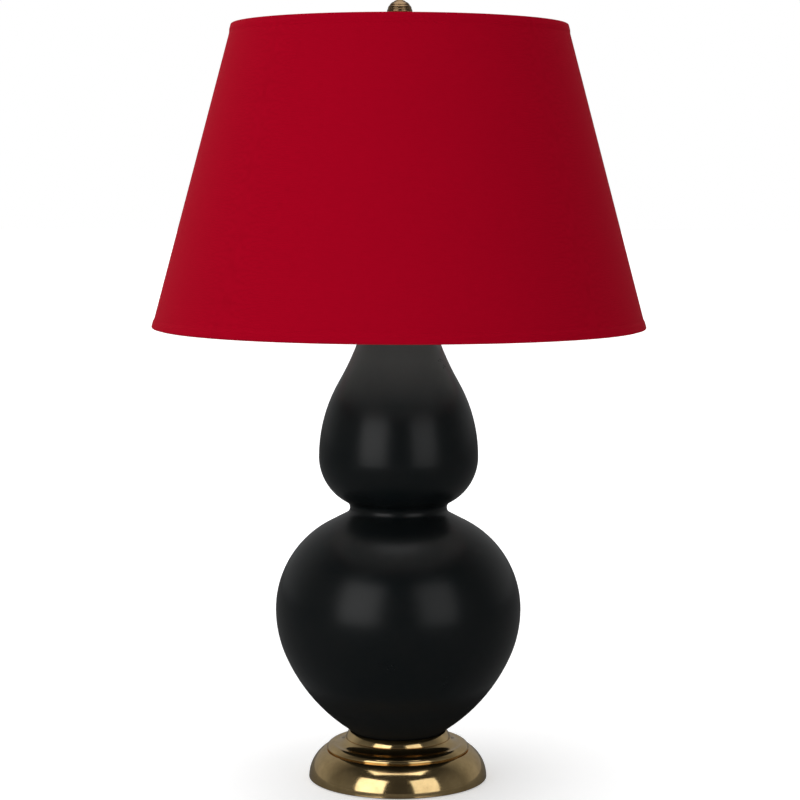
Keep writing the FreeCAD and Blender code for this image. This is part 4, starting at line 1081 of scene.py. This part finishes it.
# %% Dress the CAD pieces
STAYING = {
    FIBREBOARD: ["base_board"],
    IRON: ["base_weight"],
    PLAIN_BRASS: ["vase_cap", "neck_tube", "check_ring", "harp_saddle", "harp_boss", "harp_sleeve_left",
                  "harp_sleeve_right", "socket_cap", "socket_shell", "finial_insert"],
    STEEL: ["lamp_rod", "rod_nut", "rod_washer", "socket_screw", "switch_stem", "terminal_screw_left",
            "terminal_screw_right", "shade_top_ring", "shade_bottom_ring"],
    BRIGHT_METAL: ["bulb_contact", "socket_contact"],
    RUBBER: ["gourd_gasket"],
    LINER_BOARD: ["socket_liner"],
    BLACK_PLASTIC: ["socket_core", "cord_bushing"],
    BULB_GLASS: ["bulb_mount"],
}
for finish, names in STAYING.items():
    for name in names:
        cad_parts[name].material_slots[0].material = finish
    print(finish.name, "on", ", ".join(names))

# %% [markdown]
# ## Floor, backdrop and light
# A product photograph of a glossy black body needs large soft lights, because the body shows their
# reflections and little else. Two tall softboxes stand at the front, the left one stronger, and a
# wide one hangs above, which shows as the ring on the lower shoulder. The backdrop is white where
# the camera sees it. Glossy and transmitted rays see it too, at a fraction of that white, and brighter
# behind the lamp and at its sides than in front, so the brass gets light rims and dark middles.
# Diffuse rays get a soft fill from the left and from behind. The floor is a pale sheet that
# keeps the lamp's shadow, and glossy and transmitted rays see it dark grey: painted shade in the
# lamp's reflections.

# %% World
SEEN_IN_FRONT = 0.036      # what glossy and transmitted rays meet
SEEN_ASIDE = 0.08          # added to it at the sides
SEEN_BEHIND = 0.20         # added to it behind the lamp
FILL = 0.07                # what diffuse rays meet
FILL_LEFT = 0.95           # added to it from the left
FILL_BACK = 1.7            # added to it from behind


def mirror_ray(tree, path):
    """1 for a ray that a mirror or a glass sends on."""
    return calc(tree, "MAXIMUM", path["Is Glossy Ray"], path["Is Transmission Ray"])


def backdrop():
    world = bpy.data.worlds.new("studio")
    bpy.context.scene.world = world
    world.use_nodes = True
    tree = world.node_tree
    tree.nodes.clear()
    path = add(tree, "ShaderNodeLightPath").outputs
    parts = split(tree, add(tree, "ShaderNodeTexCoord").outputs["Generated"])
    aside = spread(tree, calc(tree, "ABSOLUTE", parts["X"]), 0.6, 0.95)
    behind = spread(tree, parts["Y"], 0.1, 0.6)
    sides = calc(tree, "MULTIPLY_ADD", aside, SEEN_ASIDE, SEEN_IN_FRONT)
    seen = calc(tree, "MULTIPLY_ADD", behind, SEEN_BEHIND, sides)
    left = spread(tree, parts["X"], 0.0, -1.0)
    back = spread(tree, parts["Y"], 0.0, 1.0)
    fill = calc(tree, "MULTIPLY_ADD", times(tree, left, left), FILL_LEFT, FILL)
    soft = calc(tree, "MULTIPLY_ADD", times(tree, back, back), FILL_BACK, fill)
    level = blend(tree, mirror_ray(tree, path), soft, seen)
    strength = blend(tree, path["Is Camera Ray"], level, 1.0)
    light = add(tree, "ShaderNodeBackground", {"Color": (1, 1, 1, 1), "Strength": strength})
    add(tree, "ShaderNodeOutputWorld", {0: light})


backdrop()
print("world ready")

# %% Softboxes
TARGET = Vector((0, 0, 0.40))


def softbox(name, azimuth, distance, height, width, tall, watts):
    """A softbox at an angle from the front, positive to the right, that faces the lamp."""
    data = bpy.data.lights.new(name, "AREA")
    data.shape = "RECTANGLE"
    data.size = width
    data.size_y = tall
    data.energy = watts
    lamp = in_scene(name, data)
    turn_to = math.radians(azimuth)
    lamp.location = (distance * math.sin(turn_to), -distance * math.cos(turn_to), height)
    lamp.rotation_euler = (TARGET - lamp.location).to_track_quat("-Z", "Y").to_euler()
    lamp.visible_camera = False


softbox("softbox_left", azimuth=-36.5, distance=2.2, height=0.92, width=1.56, tall=1.85, watts=14.5)
softbox("softbox_right", azimuth=37.5, distance=2.2, height=0.92, width=1.40, tall=1.85, watts=8.3)
softbox("softbox_above", azimuth=0, distance=0.01, height=2.7, width=2.6, tall=2.6, watts=30)
print("three softboxes")

# %% Floor
MIRRORED_FLOOR = 0.05      # how bright the floor is to glossy and transmitted rays


def pale_floor():
    material, tree, shader = new_finish("pale_floor", Specular_IOR_Level=0.0, Roughness=0.9,
                                        Emission_Color=(1, 1, 1, 1))
    vector = coordinates(tree)
    path = add(tree, "ShaderNodeLightPath").outputs
    mirrored = mirror_ray(tree, path)
    white = spread(tree, length(tree, vector), 0.15, 1.8, 0.42, 0.92)
    seen = plus(tree, times(tree, path["Is Camera Ray"], white), times(tree, mirrored, MIRRORED_FLOOR))
    pale = tint(tree, noise(tree, vector, 3.0), (0.84, 0.84, 0.84), (0.88, 0.88, 0.88))
    # Glossy and transmitted rays see the floor dark grey, not pale: painted shade in the lamp's reflections.
    put(tree, tint(tree, mirrored, pale, (0.10, 0.10, 0.10)), shader["Base Color"])
    put(tree, seen, shader["Emission Strength"])
    bpy.ops.mesh.primitive_plane_add(size=60)
    sheet = bpy.context.object
    sheet.name = "floor"
    sheet.data.materials.append(material)


pale_floor()
print("floor ready")

# %% [markdown]
# ## The last update
# Once every piece is made, the view layer is brought up to date.

bpy.context.view_layer.update()
